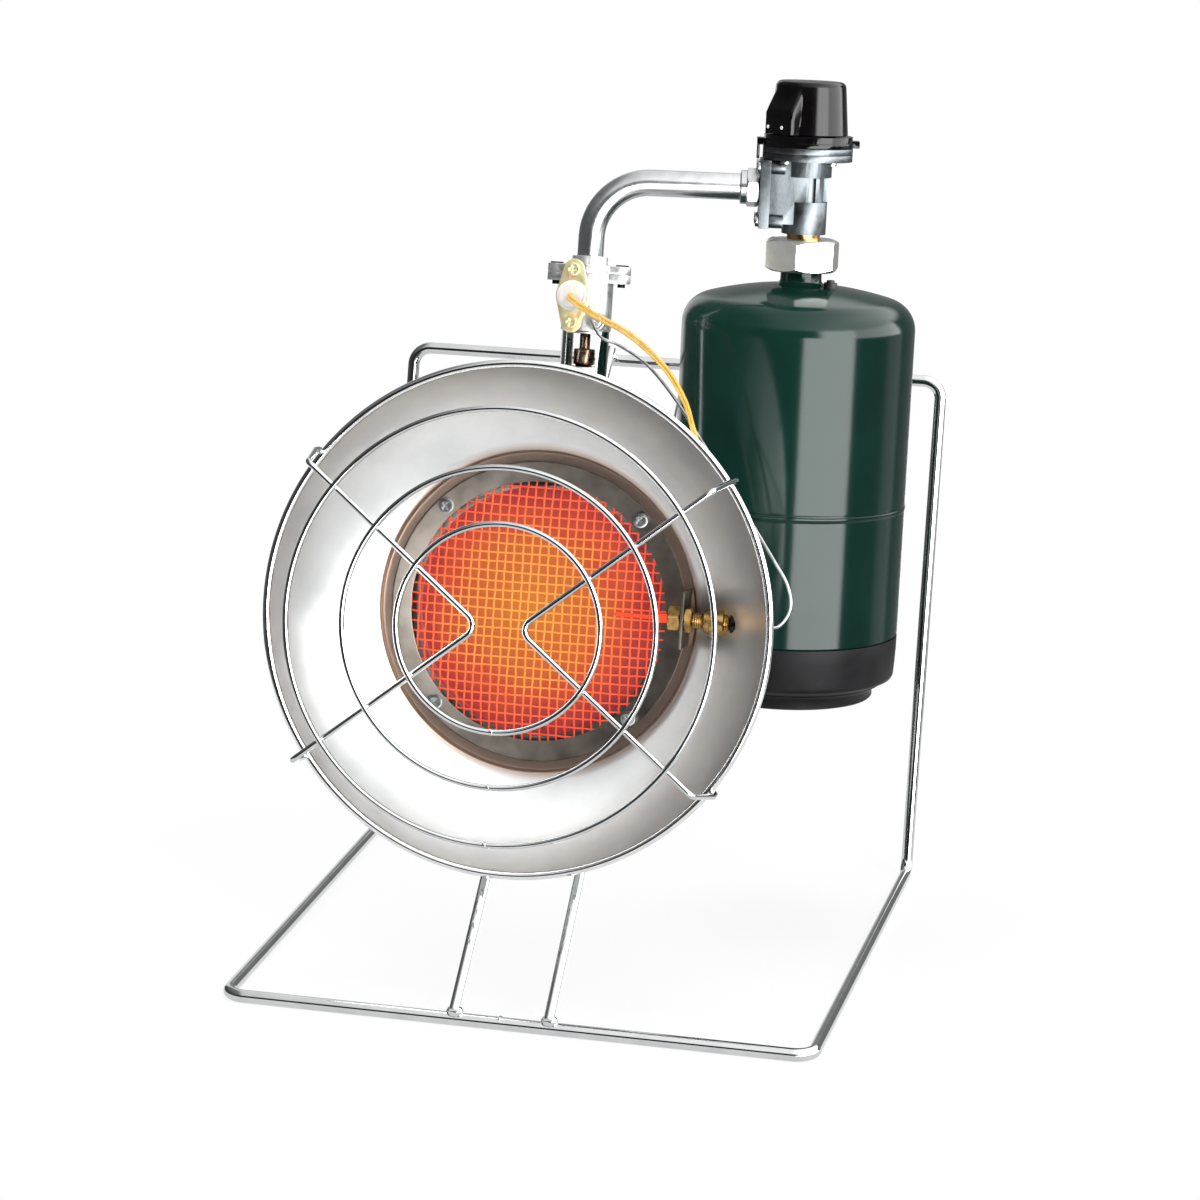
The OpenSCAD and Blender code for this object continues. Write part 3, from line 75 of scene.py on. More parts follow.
# The burner faces up by this angle, and the middle of its rim is BOWL
TILT = math.radians(6)
BOWL = vec(-16.5, -97.3, 150.5)
BACK = vec(0, math.cos(TILT), -math.sin(TILT))
UP = vec(0, math.sin(TILT), math.cos(TILT))

# The valve stands behind the bowl, on the burner's own upright
VALVE_DEPTH = 107
VALVE_FOOT = 113.7
LUG_SPLIT = VALVE_FOOT + 23.9
VALVE_AXIS = BOWL + VALVE_DEPTH * BACK

# The gas tube's axis meets the regulator's upright axis here
REG = vec(70.5, 43.1, 314.8)
SEAT_GAP = 0.1


def head(x, depth, z):
    """A point of the burner's own frame: x to the right, depth behind the rim, z up."""
    return BOWL + x * X + depth * BACK + z * UP


tube_foot = head(0, VALVE_DEPTH, LUG_SPLIT + SEAT_GAP)
tube_corner = tube_foot + UP * (REG[2] - tube_foot[2]) / UP[2]
AIM = unit(REG - tube_corner)
SIDE = np.cross(Z, AIM)

# A seat is an origin and three axes, the last of which is the axis that round pieces turn about
HEAD_SEAT = (BOWL, X, -UP, BACK)
FRONT_SEAT = (VALVE_AXIS, X, UP, -BACK)
BUTTON_SEAT = (VALVE_AXIS, X, -UP, BACK)
REG_SEAT = (REG, AIM, SIDE, Z)
UNION_SEAT = (REG, SIDE, Z, AIM)
SENSOR_DEPTH, SENSOR_Z = 30, 3
SENSOR_SEAT = (head(0, SENSOR_DEPTH, SENSOR_Z), BACK, UP, X)


def at(seat, xyz):
    """Takes local points, an array whose last axis is x, y, z, to the row frame."""
    o, a, b, c = seat
    return o + xyz[..., :1] * a + xyz[..., 1:2] * b + xyz[..., 2:] * c


def moved(seat, x=0.0, y=0.0, z=0.0):
    """The same seat with its origin moved along its own axes."""
    o, a, b, c = seat
    return (o + x * a + y * b + z * c, a, b, c)


# Meshes

# Round ends close on a point this far from their axis
AXIS = 0.01


def new_object(name, data):
    """An object that holds the data, linked to the scene."""
    obj = bpy.data.objects.new(name, data)
    bpy.context.collection.objects.link(obj)
    return obj


def declare(obj, body, replaces):
    """Says which body the object rides on, which nodes it replaces."""
    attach(obj, body)
    if replaces:
        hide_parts(*replaces)
    return obj


def piece(name, points, faces, material, body, replaces=(), slot=None, sharp=35):
    """Writes points (n by 3, mm) and faces to a mesh that rides on a body."""
    mesh = bpy.data.meshes.new(name)
    mesh.from_pydata((np.asarray(points) * MM).tolist(), [], [list(map(int, f)) for f in faces])
    mesh.validate()
    work = bmesh.new()
    work.from_mesh(mesh)
    bmesh.ops.remove_doubles(work, verts=work.verts, dist=1e-7)
    bmesh.ops.recalc_face_normals(work, faces=work.faces)
    work.to_mesh(mesh)
    work.free()
    mesh.shade_smooth()
    mesh.set_sharp_from_angle(angle=math.radians(sharp))
    mesh.materials.append(material)
    return declare(new_object(name, mesh), body, replaces)


def skin(rings, loop=False):
    """Faces over rings of points (rings by sides by 3): a quad between each two neighbours.

    With loop the last ring joins the first. Without it each end closes on its middle point.
    """
    m, s = rings.shape[:2]
    index = np.arange(m * s).reshape(m, s)
    a = index if loop else index[:-1]
    b = np.roll(index, -1, 0) if loop else index[1:]
    quads = np.stack([a, np.roll(a, -1, 1), np.roll(b, -1, 1), b], -1).reshape(-1, 4).tolist()
    points = rings.reshape(-1, 3)
    if not loop:
        points = np.vstack([points, rings[0].mean(0), rings[-1].mean(0)])
        first, last = index[0], index[-1]
        ends = [np.stack([np.roll(first, -1), first, np.full(s, m * s)], -1),
                np.stack([last, np.roll(last, -1), np.full(s, m * s + 1)], -1)]
        quads += np.vstack(ends).tolist()
    return points, quads


def join(*parts):
    """Several (points, faces) pairs as one pair."""
    points, faces, start = [], [], 0
    for p, f in parts:
        points.append(p)
        faces += [[i + start for i in face] for face in f]
        start += len(p)
    return np.vstack(points), faces


def lathe(seat, profile, sides=96, loop=True):
    """Turns a profile of (radius, height) about the seat's axis.

    x = radius cos a, y = radius sin a, z = height. A loop profile is a closed line clear of the
    axis, and any other profile closes on the axis at both its ends.
    """
    profile = np.asarray(profile, float)
    a = np.linspace(0, 2 * pi, sides, endpoint=False)
    r, h = profile[:, :1], profile[:, 1:]
    rings = np.stack([r * np.cos(a), r * np.sin(a), h + 0 * a], -1)
    return skin(at(seat, rings), loop=loop)


def arc(cx, cy, r, start, end, n=8):
    """n + 1 points on an arc of a profile, between two angles in degrees."""
    t = np.radians(np.linspace(start, end, n + 1))
    return np.stack([cx + r * np.cos(t), cy + r * np.sin(t)], -1).tolist()


def rounded(corners, bends, loop=False):
    """A line through corners, each one cut by an arc of its bend radius: one point every 6 degrees.

    The arc's middle lies bend tan(turn / 2) before the corner and bend to its inner side.
    """
    corners = [np.asarray(c, float) for c in corners]
    n, line = len(corners), []
    for i, p in enumerate(corners):
        if not loop and i in (0, n - 1):
            line.append(p[None])
            continue
        u, v = unit(p - corners[i - 1]), unit(corners[(i + 1) % n] - p)
        turn = math.acos(float(np.clip(u @ v, -1, 1)))
        normal = unit(v - u * (u @ v))
        middle = p - u * bends[i] * math.tan(turn / 2) + normal * bends[i]
        t = np.linspace(0, turn, max(4, int(math.degrees(turn) / 6)) + 1)[:, None]
        line.append(middle + bends[i] * (np.sin(t) * u - np.cos(t) * normal))
    return np.vstack(line)


def smooth(points, steps):
    """A Catmull-Rom line: between points b and c it leaves along c - a and arrives along d - b."""
    p = np.asarray(points, float)
    a, b = np.vstack([p[:1], p[:-2]]), p[:-1]
    c, d = p[1:], np.vstack([p[2:], p[-1:]])
    t = np.linspace(0, 1, steps, endpoint=False)[:, None, None]
    line = (b * (1 - t) ** 3 + 3 * (b + (c - a) / 6) * t * (1 - t) ** 2
            + 3 * (c - (d - b) / 6) * t ** 2 * (1 - t) + c * t ** 3)
    return np.vstack([line.transpose(1, 0, 2).reshape(-1, 3), p[-1:]])


def tube(line, radius, sides=24, loop=False, lean=(0.36, 0.48, -0.8), nose=0.0):
    """A round tube along a line of points: ring = point + radius (cos a side + sin a across).

    side is the direction of travel crossed with a fixed leaning vector. nose rounds both ends by
    that length.
    """
    line = np.asarray(line, float)
    if loop:
        way = unit(np.roll(line, -1, 0) - np.roll(line, 1, 0))
    else:
        way = unit(np.gradient(line, axis=0))
    r = np.full(len(line), float(radius))
    if nose:
        q = np.radians([0, 30, 60, 80])
        inset, short = nose * (1 - np.sin(q)), nose * (1 - np.cos(q))
        first = line[0] + way[0] * inset[::-1, None]
        last = line[-1] - way[-1] * inset[:, None]
        line = np.vstack([first, line[1:-1], last])
        way = np.vstack([np.repeat(way[:1], 4, 0), way[1:-1], np.repeat(way[-1:], 4, 0)])
        r = np.concatenate([r[0] - short[::-1], r[1:-1], r[-1] - short])
    side = unit(np.cross(way, np.asarray(lean, float)))
    across = np.cross(way, side)
    a = np.linspace(0, 2 * pi, sides, endpoint=False)
    rings = (line[:, None] + r[:, None, None] * (np.cos(a)[:, None] * side[:, None]
                                                 + np.sin(a)[:, None] * across[:, None]))
    return skin(rings, loop=loop)


def lump(middle, radii, axes=(X, Y, Z), ripple=0.0):
    """A rounded bead: a ball stretched along three axes, its radius rippled by three sine waves."""
    v = np.linspace(0, pi, 13)[1:-1, None]
    u = np.linspace(0, 2 * pi, 24, endpoint=False)
    swell = 1 + ripple * np.sin(3 * u + 4 * v) * np.sin(5 * v + 2 * u) * np.sin(v)
    local = np.stack([swell * np.sin(v) * np.cos(u), swell * np.sin(v) * np.sin(u),
                      swell * np.cos(v) + 0 * u], -1)
    basis = np.array(axes) * np.array(radii)[:, None]
    return skin(np.asarray(middle) + local @ basis)


def hex_nut(seat, corner, low, high, bore, turn=0.0):
    """A hexagon whose ends are turned off by a 30 degree cone, with a bore.

    The hexagon's radius is flat / cos(angle from the nearest face). Where the cone meets it, the
    height is (radius - face circle) tan 30.
    """
    lip = 0.35
    a = np.linspace(0, 2 * pi, 96, endpoint=False)
    flat = corner * math.cos(pi / 6)
    reach = flat / np.cos((a - turn + pi / 6) % (pi / 3) - pi / 6)
    face = 0.94 * flat
    drop = (reach - face) * math.tan(pi / 6)
    rows = [(bore, low + lip), (bore + lip, low), (face, low), (reach, low + drop),
            (reach, high - drop), (face, high), (bore + lip, high), (bore, high - lip)]
    rings = np.stack([np.stack([r * np.cos(a), r * np.sin(a), h + 0 * a], -1) for r, h in rows])
    return skin(at(seat, rings), loop=True)


def soften(node, width, material, body, segments=2):
    """A copy of a CAD node with its sharp edges rounded, which stands in for the node."""
    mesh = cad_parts[node].data.copy()
    mesh.materials.clear()
    work = bmesh.new()
    work.from_mesh(mesh)
    bmesh.ops.remove_doubles(work, verts=work.verts, dist=2e-6)
    bmesh.ops.dissolve_limit(work, angle_limit=math.radians(1), verts=work.verts, edges=work.edges)
    work.to_mesh(mesh)
    work.free()
    mesh.shade_smooth()
    mesh.materials.append(material)
    obj = new_object(node + "_cast", mesh)
    bevel = obj.modifiers.new("round", "BEVEL")
    bevel.width = width * MM
    bevel.segments = segments
    bevel.limit_method = "ANGLE"
    bevel.angle_limit = math.radians(28)
    bevel.use_clamp_overlap = True
    bevel.harden_normals = True
    declare(obj, body, [node])


# Materials

def linear(code):
    """An sRGB hex colour as linear RGBA."""
    c = np.array([int(code[i:i + 2], 16) for i in (1, 3, 5)]) / 255
    c = np.where(c <= 0.04045, c / 12.92, ((c + 0.055) / 1.055) ** 2.4)
    return (*c.tolist(), 1.0)


def add(tree, kind, inputs=None, stops=(), **settings):
    """Adds a shader node with its settings, its inputs as values or sockets, and its ramp's stops.

    A stop is (place, colour), the colour a hex code or a linear grey.
    """
    node = tree.nodes.new("ShaderNode" + kind)
    for key, value in settings.items():
        setattr(node, key, value)
    for key, value in (inputs or {}).items():
        if isinstance(value, bpy.types.NodeSocket):
            tree.links.new(value, node.inputs[key])
        else:
            node.inputs[key].default_value = value
    if stops:
        elements = node.color_ramp.elements
        while len(elements) < len(stops):
            elements.new(0.5)
        for element, (place, colour) in zip(elements, stops):
            element.position = place
            element.color = linear(colour) if isinstance(colour, str) else (colour,) * 3 + (1.0,)
    return node


def finish_of(name, **values):
    """A new material with one Principled shader: its tree, the shader and the Object coordinates."""
    mat = bpy.data.materials.new(name)
    mat.use_nodes = True
    tree = mat.node_tree
    shader = tree.nodes["Principled BSDF"]
    for key, value in values.items():
        shader.inputs[key.replace("_", " ")].default_value = value
    place = add(tree, "TexCoord").outputs["Object"]
    return mat, tree, shader, place


def grain(tree, place, size, detail=3.0, rough=0.5):
    """A cloudy pattern whose blotches are about size mm across."""
    scaled = add(tree, "Mapping", {"Vector": place, "Scale": (1 / (size * MM),) * 3})
    noise = add(tree, "TexNoise", {"Vector": scaled.outputs["Vector"], "Scale": 1.0,
                                   "Detail": detail, "Roughness": rough})
    return noise.outputs["Fac"]


def drift(tree, shader, tint, stops, gloss, rough):
    """Colour follows the pattern tint through the stops, and roughness the pattern gloss.

    Roughness goes from rough[0] to rough[1] as the pattern goes from 0.3 to 0.7. The colour is
    returned.
    """
    colour = add(tree, "ValToRGB", {"Fac": tint}, stops)
    tree.links.new(colour.outputs["Color"], shader.inputs["Base Color"])
    sheen = add(tree, "MapRange", {"Value": gloss, "From Min": 0.3, "From Max": 0.7,
                                   "To Min": rough[0], "To Max": rough[1]})
    tree.links.new(sheen.outputs["Result"], shader.inputs["Roughness"])
    return colour.outputs["Color"]


def raise_surface(tree, shader, *layers):
    """Raises the surface by each pattern in turn. A layer is (pattern, height in mm)."""
    normal = None
    for pattern, height in layers:
        inputs = {"Height": pattern, "Strength": 1.0, "Distance": height * MM}
        if normal is not None:
            inputs["Normal"] = normal
        normal = add(tree, "Bump", inputs).outputs["Normal"]
    tree.links.new(normal, shader.inputs["Normal"])


def axis_distance(tree, place, seat):
    """Distance in metres of a point from the seat's axis: the length of its two parts across it."""
    origin, a, b, c = seat
    local = add(tree, "VectorMath", {0: place, 1: tuple(origin * MM)}, operation="SUBTRACT")
    parts = []
    for axis in (a, b):
        dot = add(tree, "VectorMath", {0: local.outputs["Vector"], 1: tuple(axis)}, operation="DOT_PRODUCT")
        parts.append(dot.outputs["Value"])
    flat = add(tree, "CombineXYZ", {"X": parts[0], "Y": parts[1]})
    length = add(tree, "VectorMath", {0: flat.outputs["Vector"]}, operation="LENGTH")
    return length.outputs["Value"]


def metal(name, dark, light, rough, size=4.0, swing=0.06, relief=0.0, relief_size=0.5, metallic=1.0):
    """A metal finish: colour drifts between two tones and roughness by swing, over blotches of size mm."""
    mat, tree, shader, place = finish_of(name, Metallic=metallic)
    cloud = grain(tree, place, size)
    drift(tree, shader, cloud, [(0.3, dark), (0.7, light)], cloud, (rough - swing, rough + swing))
    if relief:
        raise_surface(tree, shader, (grain(tree, place, relief_size, detail=2), relief))
    return mat


# Bright chromium plating on drawn wire: nearly a mirror
chrome_wire = metal("chrome_plated_wire", "#BFC1C2", "#CCCDCD", 0.07, size=9, swing=0.01)
# Chromium plating on a bent tube, a little duller than the wire
chrome_tube = metal("chrome_plated_tube", "#AAADAF", "#BABDBE", 0.24, size=7, swing=0.02,
                    relief=0.006, relief_size=2, metallic=0.9)
# Bright plating on pressed tube, with sharp reflections
bright_tube = metal("bright_plated_tube", "#BCBEBF", "#CCCDCD", 0.1, size=7, swing=0.02)
# The rolled edge of the bowl, polished by the rolling
rolled_edge = metal("polished_rolled_edge", "#D8D9D9", "#E3E3E2", 0.1, size=6, swing=0.02)
# Bright nickel plating on turned hexagon nuts: warmer and softer than chromium
nickel = metal("nickel_plated_nut", "#D8D8D5", "#E3E2DE", 0.2, size=5, swing=0.03,
               relief=0.01, relief_size=0.8, metallic=0.6)
# Clear zinc plating on screws and small pressed parts: grey with a blurred gleam
zinc = metal("zinc_plated_steel", "#8F9293", "#B9BBBA", 0.34, size=3, swing=0.08)
# Zinc alloy as it leaves the die: a dull grey grain
die_cast = metal("die_cast_zinc", "#575C5F", "#686D70", 0.42, size=2.5, swing=0.08,
                 relief=0.06, relief_size=0.7)
# The same alloy, painted lighter for the valve: a lit copy of the die-cast finish, which is painted light
lit_cast_copy = metal("zinc_casting_painted_lit", "#B6B8B9", "#DADBDA", 0.4, size=2.5, swing=0.08,
                    relief=0.05, relief_size=0.7, metallic=0.75)
# Turned brass, yellow with a clear gleam
brass = metal("turned_brass", "#8E6A3C", "#CBA766", 0.28, size=3, swing=0.08)
# Brass browned by the heat
burnt_brass = metal("heat_browned_brass", "#5A4A3E", "#9A8372", 0.3, size=2.5, swing=0.1)
# Steel sheet dulled and warmed in tone by heat behind the flame
hot_sheet = metal("heat_dulled_steel", "#665F58", "#7B756E", 0.44, size=8, swing=0.06,
                  relief=0.02, relief_size=2)
# Phosphated steel screws, nearly black
black_steel = metal("black_phosphated_steel", "#161616", "#262626", 0.45, size=2, swing=0.05)


def spun_steel():
    """Polished steel sheet, spun on a lathe: fine rings about the bowl's axis, smears and soft dents.

    The steel is painted straw brown on the step beside the burner and fades out beyond it: a painted
    reflection of the burner's glow.
    """
    ring_pitch = 0.8
    # Radii in mm over which the painted reflection of the glow fades out
    painted_glow_from, painted_glow_to = 65.5, 69
    mat, tree, shader, place = finish_of("spun_polished_steel", Metallic=0.9)
    radius = axis_distance(tree, place, HEAD_SEAT)
    # Real spinning marks are finer. They are drawn this coarse so that they show
    turns = add(tree, "Math", {0: radius, 1: 1 / (ring_pitch * MM)}, operation="MULTIPLY")
    ring = add(tree, "TexNoise", {"Scale": 1.0, "Detail": 2.0}, noise_dimensions="1D")
    tree.links.new(turns.outputs["Value"], ring.inputs["W"])
    smear = grain(tree, place, 26, detail=4, rough=0.6)
    stain = grain(tree, place, 9, detail=4, rough=0.65)
    tones = [(0.3, "#DADBDC"), (0.5, "#E1E2E2"), (0.75, "#E9EAE9")]
    clean = drift(tree, shader, smear, tones, stain, (0.29, 0.33))
    # Painted reflection of the burner's glow: straw brown inside 65.5 mm, fading out by 69 mm
    painted_glow_share = add(tree, "MapRange", {"Value": radius, "From Min": painted_glow_from * MM,
                                  "From Max": painted_glow_to * MM, "To Min": 1.0, "To Max": 0.0})
    with_painted_glow = add(tree, "Mix", {"Factor": painted_glow_share.outputs["Result"], "A": clean,
                               "B": linear("#A89284")}, data_type="RGBA")
    tree.links.new(with_painted_glow.outputs["Result"], shader.inputs["Base Color"])
    raise_surface(tree, shader, (grain(tree, place, 30, detail=1), 0.22), (ring.outputs["Fac"], 0.012))
    return mat


def glow(name, stops, base):
    """Hot metal: its own light runs through the stops from the middle of the burner to its edge.

    The share of the way out is radius / HOT_R, shifted by up to 0.35 / 2 either way by a pattern.
    """
    mat, tree, shader, place = finish_of(name, Roughness=0.6, Base_Color=linear(base), Emission_Strength=1.0)
    radius = axis_distance(tree, place, moved(HEAD_SEAT, x=-3, y=-1))
    patch = grain(tree, place, 16, detail=2)
    wander = add(tree, "Math", {0: patch, 1: 0.35, 2: -0.35 / 2}, operation="MULTIPLY_ADD")
    share = add(tree, "Math", {0: radius, 1: 1 / (HOT_R * MM), 2: wander.outputs["Value"]},
                operation="MULTIPLY_ADD")
    light = add(tree, "ValToRGB", {"Fac": share.outputs["Value"]}, stops)
    light.color_ramp.interpolation = "EASE"
    tree.links.new(light.outputs["Color"], shader.inputs["Emission Color"])
    return mat


def baked_enamel():
    """Baked enamel on the steel cylinder: a deep gloss with a slight orange peel."""
    mat, tree, shader, place = finish_of("baked_green_enamel", Roughness=0.13, Specular_IOR_Level=0.22)
    cloud = grain(tree, place, 30)
    colour = add(tree, "ValToRGB", {"Fac": cloud}, [(0.3, "#0E2C26"), (0.7, "#12342C")])
    tree.links.new(colour.outputs["Color"], shader.inputs["Base Color"])
    peel, waves = grain(tree, place, 2.2, detail=1), grain(tree, place, 40, detail=1)
    raise_surface(tree, shader, (peel, 0.006), (waves, 0.12))
    return mat


def plastic(name, dark, light, rough, relief=0.01, relief_size=0.6, size=8.0, specular=0.5):
    """A moulded plastic: one tone with a slight drift, and the mould's fine grain."""
    mat, tree, shader, place = finish_of(name, Specular_IOR_Level=specular)
    cloud = grain(tree, place, size)
    drift(tree, shader, cloud, [(0.3, dark), (0.7, light)], cloud, (rough - 0.03, rough + 0.03))
    raise_surface(tree, shader, (grain(tree, place, relief_size, detail=2), relief))
    return mat


def chromated():
    """Yellow chromate over zinc: a straw colour that drifts to green and rose."""
    mat, tree, shader, place = finish_of("yellow_chromated_zinc", Metallic=0.5)
    film = grain(tree, place, 6, detail=2)
    tones = [(0.25, "#B4CC98"), (0.42, "#E9E3B4"), (0.6, "#F0DCA6"), (0.8, "#DDB6AC")]
    drift(tree, shader, film, tones, film, (0.3, 0.42))
    return mat


# The burner's hot face ends at this radius
HOT_R = 52.8

bowl_steel = spun_steel()
# The cloth's wires glow yellow in the middle of the burner and red at its edge
screen_wire_hot = glow("glowing_wire_cloth",
                       [(0.0, "#FFA93F"), (0.5, "#FF9A3C"), (0.8, "#FF6A38"), (1.0, "#F0462C")], "#3A1208")
# The burner bed behind the cloth glows a deeper orange
bed_hot = glow("glowing_burner_bed",
               [(0.0, "#D67414"), (0.45, "#CA5E10"), (0.68, "#C43E14"), (0.88, "#A82218"), (1.0, "#7E1612")],
               "#240804")
# The sensor's rod, red hot in the flame
needle_hot = glow("red_hot_rod", [(0.0, "#FF5A2A"), (1.0, "#FF4A1E")], "#401008")
green_enamel = baked_enamel()
# Moulded polyethylene: a waxy near black with a wide dim gleam
cup_plastic = plastic("moulded_polyethylene", "#121213", "#1C1C1E", 0.42, relief=0.02, relief_size=0.9,
                      specular=0.1)
# Glossy ABS: a deep black with sharp reflections
knob_plastic = plastic("gloss_black_abs", "#080708", "#100E10", 0.12, relief=0.004, specular=0.22)
# Phenolic moulding: a hard white with a soft gleam
switch_plastic = plastic("white_phenolic", "#E4E2DD", "#F2F0EC", 0.38)
# Nitrile rubber: dull black
black_rubber = plastic("black_nitrile_rubber", "#0E0E0E", "#181818", 0.6)
# PVC sleeve on the leads: a warm yellow with a soft gleam
lead_plastic = plastic("yellow_pvc_sleeve", "#E2AE3E", "#F2CD6C", 0.42, size=5)
# Flat white paint in the knob's two setting marks
mark_paint = plastic("white_marking_paint", "#E9E9E9", "#F6F6F6", 0.5)
yellow_zinc = chromated()


# Camera

def place_camera():
    """The photograph's view: 10.9 degrees round to the right, 11.5 down, rolled by 2.4."""
    yaw, pitch, roll = (math.radians(a) for a in (10.89, 11.51, 2.44))
    place = vec(251.04, -1312.2, 413.75)
    way = vec(-math.sin(yaw) * math.cos(pitch), math.cos(yaw) * math.cos(pitch), -math.sin(pitch))
    level = vec(math.cos(yaw), math.sin(yaw), 0)
    above = np.cross(level, way)
    right = math.cos(roll) * level + math.sin(roll) * above
    top = -math.sin(roll) * level + math.cos(roll) * above
    data = bpy.data.cameras.new("camera")
    data.sensor_width = 36
    data.lens = 97.2
    data.clip_start, data.clip_end = 0.05, 50
    cam = new_object("camera", data)
    turn = Matrix((right, top, -way)).transposed().to_4x4()
    cam.matrix_world = Matrix.Translation(Vector(place * MM)) @ turn
    bpy.context.scene.camera = cam


place_camera()


# Stand

WIRE, STRUT = 2.6, 2.0
STAND_BEND = 8
# Half widths of the front bar, of the foot of the back frame and of its top bar
FRONT_HALF, BACK_HALF, TOP_HALF = 116, 124, 123
FRONT_Y, BASE_DEPTH, LEAN_BACK, TOP_Z = -147.29, 262, 34, 224
BACK_Y = FRONT_Y + BASE_DEPTH
TOP_Y = BACK_Y + LEAN_BACK

# The struts rise from the front bar to the top bar, and lie on both
STRUT_HALF, STRUT_LIFT = 18.7, 4.7
STRUT_X, STRUT_DRIFT = -4.5, -6.4
SLOPE = math.atan((TOP_Z - WIRE) / (TOP_Y - FRONT_Y))
STRUT_RUN = math.hypot(TOP_Y - FRONT_Y, TOP_Z - WIRE)
STRUT_SEAT = (vec(0, FRONT_Y, WIRE), X, vec(0, math.cos(SLOPE), math.sin(SLOPE)),
              vec(0, -math.sin(SLOPE), math.cos(SLOPE)))


def build_stand():
    """One closed loop of wire makes the base and the back. Two struts are welded to its bars."""
    corners = [vec(-FRONT_HALF, FRONT_Y, WIRE), vec(FRONT_HALF, FRONT_Y, WIRE),
               vec(BACK_HALF, BACK_Y, WIRE), vec(TOP_HALF, TOP_Y, TOP_Z),
               vec(-TOP_HALF, TOP_Y, TOP_Z), vec(-BACK_HALF, BACK_Y, WIRE)]
    loop = tube(rounded(corners, [STAND_BEND] * 6, loop=True), WIRE, 32, loop=True)
    # The two ends of the wire meet here, a hair out of line, under a flat weld
    weld = lump(vec(-5.4, FRONT_Y + 0.25, WIRE + 0.25), (1.5, 2.75, 2.75), ripple=0.02)
    piece("stand_loop", *join(loop, weld), chrome_wire, "stand", ["stand_wire"], "chrome_wire")
    struts = []
    for side in (-STRUT_HALF, STRUT_HALF):
        foot_x, top_x = STRUT_X + side, STRUT_X + STRUT_DRIFT + side
        ends = np.array([vec(foot_x, 0, STRUT_LIFT), vec(top_x, STRUT_RUN + 3, STRUT_LIFT)])
        struts.append(tube(at(STRUT_SEAT, ends), STRUT, nose=0.4))
        for x, y in ((foot_x, 1.3), (top_x, STRUT_RUN - 1.3)):
            bead = at(STRUT_SEAT, vec(x, y, 2.9)[None])[0]
            struts.append(lump(bead, (3.3, 2.5, 2.5), STRUT_SEAT[1:], 0.12))
    piece("stand_struts_wire", *join(*struts), chrome_wire, "stand", ["stand_struts"], "chrome_wire")


build_stand()


# Bowl and burner

EDGE_R, BEAD_R, SHEET = 101.0, 1.6, 0.9
THROAT_R, THROAT_DEPTH = 67.0, 41.0
STEP_R, MOUTH_R, FLOOR_DEPTH = 65.0, 53.5, 44.0
# The step's S curve inside and outside: (beyond STEP_R, before FLOOR_DEPTH)
STEP_INSIDE = [(1.6, 3.0), (0.9, 2.8), (0.4, 2.3), (0.1, 1.6), (0.0, 0.8), (-0.4, 0.2), (-1.1, 0.0)]
STEP_OUTSIDE = [(0.3, -0.9), (0.9, -0.3), (1.1, 0.8), (1.4, 1.6)]
CLAMP_IN, CLAMP_OUT = 52.8, 61.0
BED_R = 50.7


def unlit(obj):
    """Keeps the glow out of the bowl: a real one is faint beside the studio's lamps."""
    obj.visible_glossy = False
    obj.visible_diffuse = False


def build_bowl():
    """Bowl: a zone of a sphere from the rim to the throat, then a step and a flat flange.

    The sphere's middle lies on the axis at the depth (throat^2 + depth^2 - edge^2) / (2 depth).
    """
    middle = (THROAT_R ** 2 + THROAT_DEPTH ** 2 - EDGE_R ** 2) / (2 * THROAT_DEPTH)
    ball = math.hypot(EDGE_R, middle)
    edge_angle = math.degrees(math.atan2(-middle, EDGE_R))
    throat_angle = math.degrees(math.atan2(THROAT_DEPTH - middle, THROAT_R))
    inside = arc(0, middle, ball, edge_angle, throat_angle - 0.6, 40)
    outside = arc(0, middle, ball + SHEET, throat_angle, edge_angle + 0.2, 40)
    step = [(STEP_R + out, FLOOR_DEPTH - rise) for out, rise in STEP_INSIDE]
    lip = [(MOUTH_R + 0.2, FLOOR_DEPTH), (MOUTH_R, FLOOR_DEPTH + 0.2),
           (MOUTH_R, FLOOR_DEPTH + SHEET - 0.2), (MOUTH_R + 0.2, FLOOR_DEPTH + SHEET)]
    rear = [(STEP_R + out, FLOOR_DEPTH - rise) for out, rise in STEP_OUTSIDE]
    sheet = lathe(HEAD_SEAT, inside + step + lip + rear + outside, 256)
    bead = lathe(HEAD_SEAT, arc(EDGE_R, 0, BEAD_R, 0, 345, 23), 256)
    piece("bowl", *sheet, bowl_steel, "stand", ["reflector_dish"], "satin_steel")
    piece("bowl_rim", *bead, rolled_edge, "stand", slot="satin_steel")


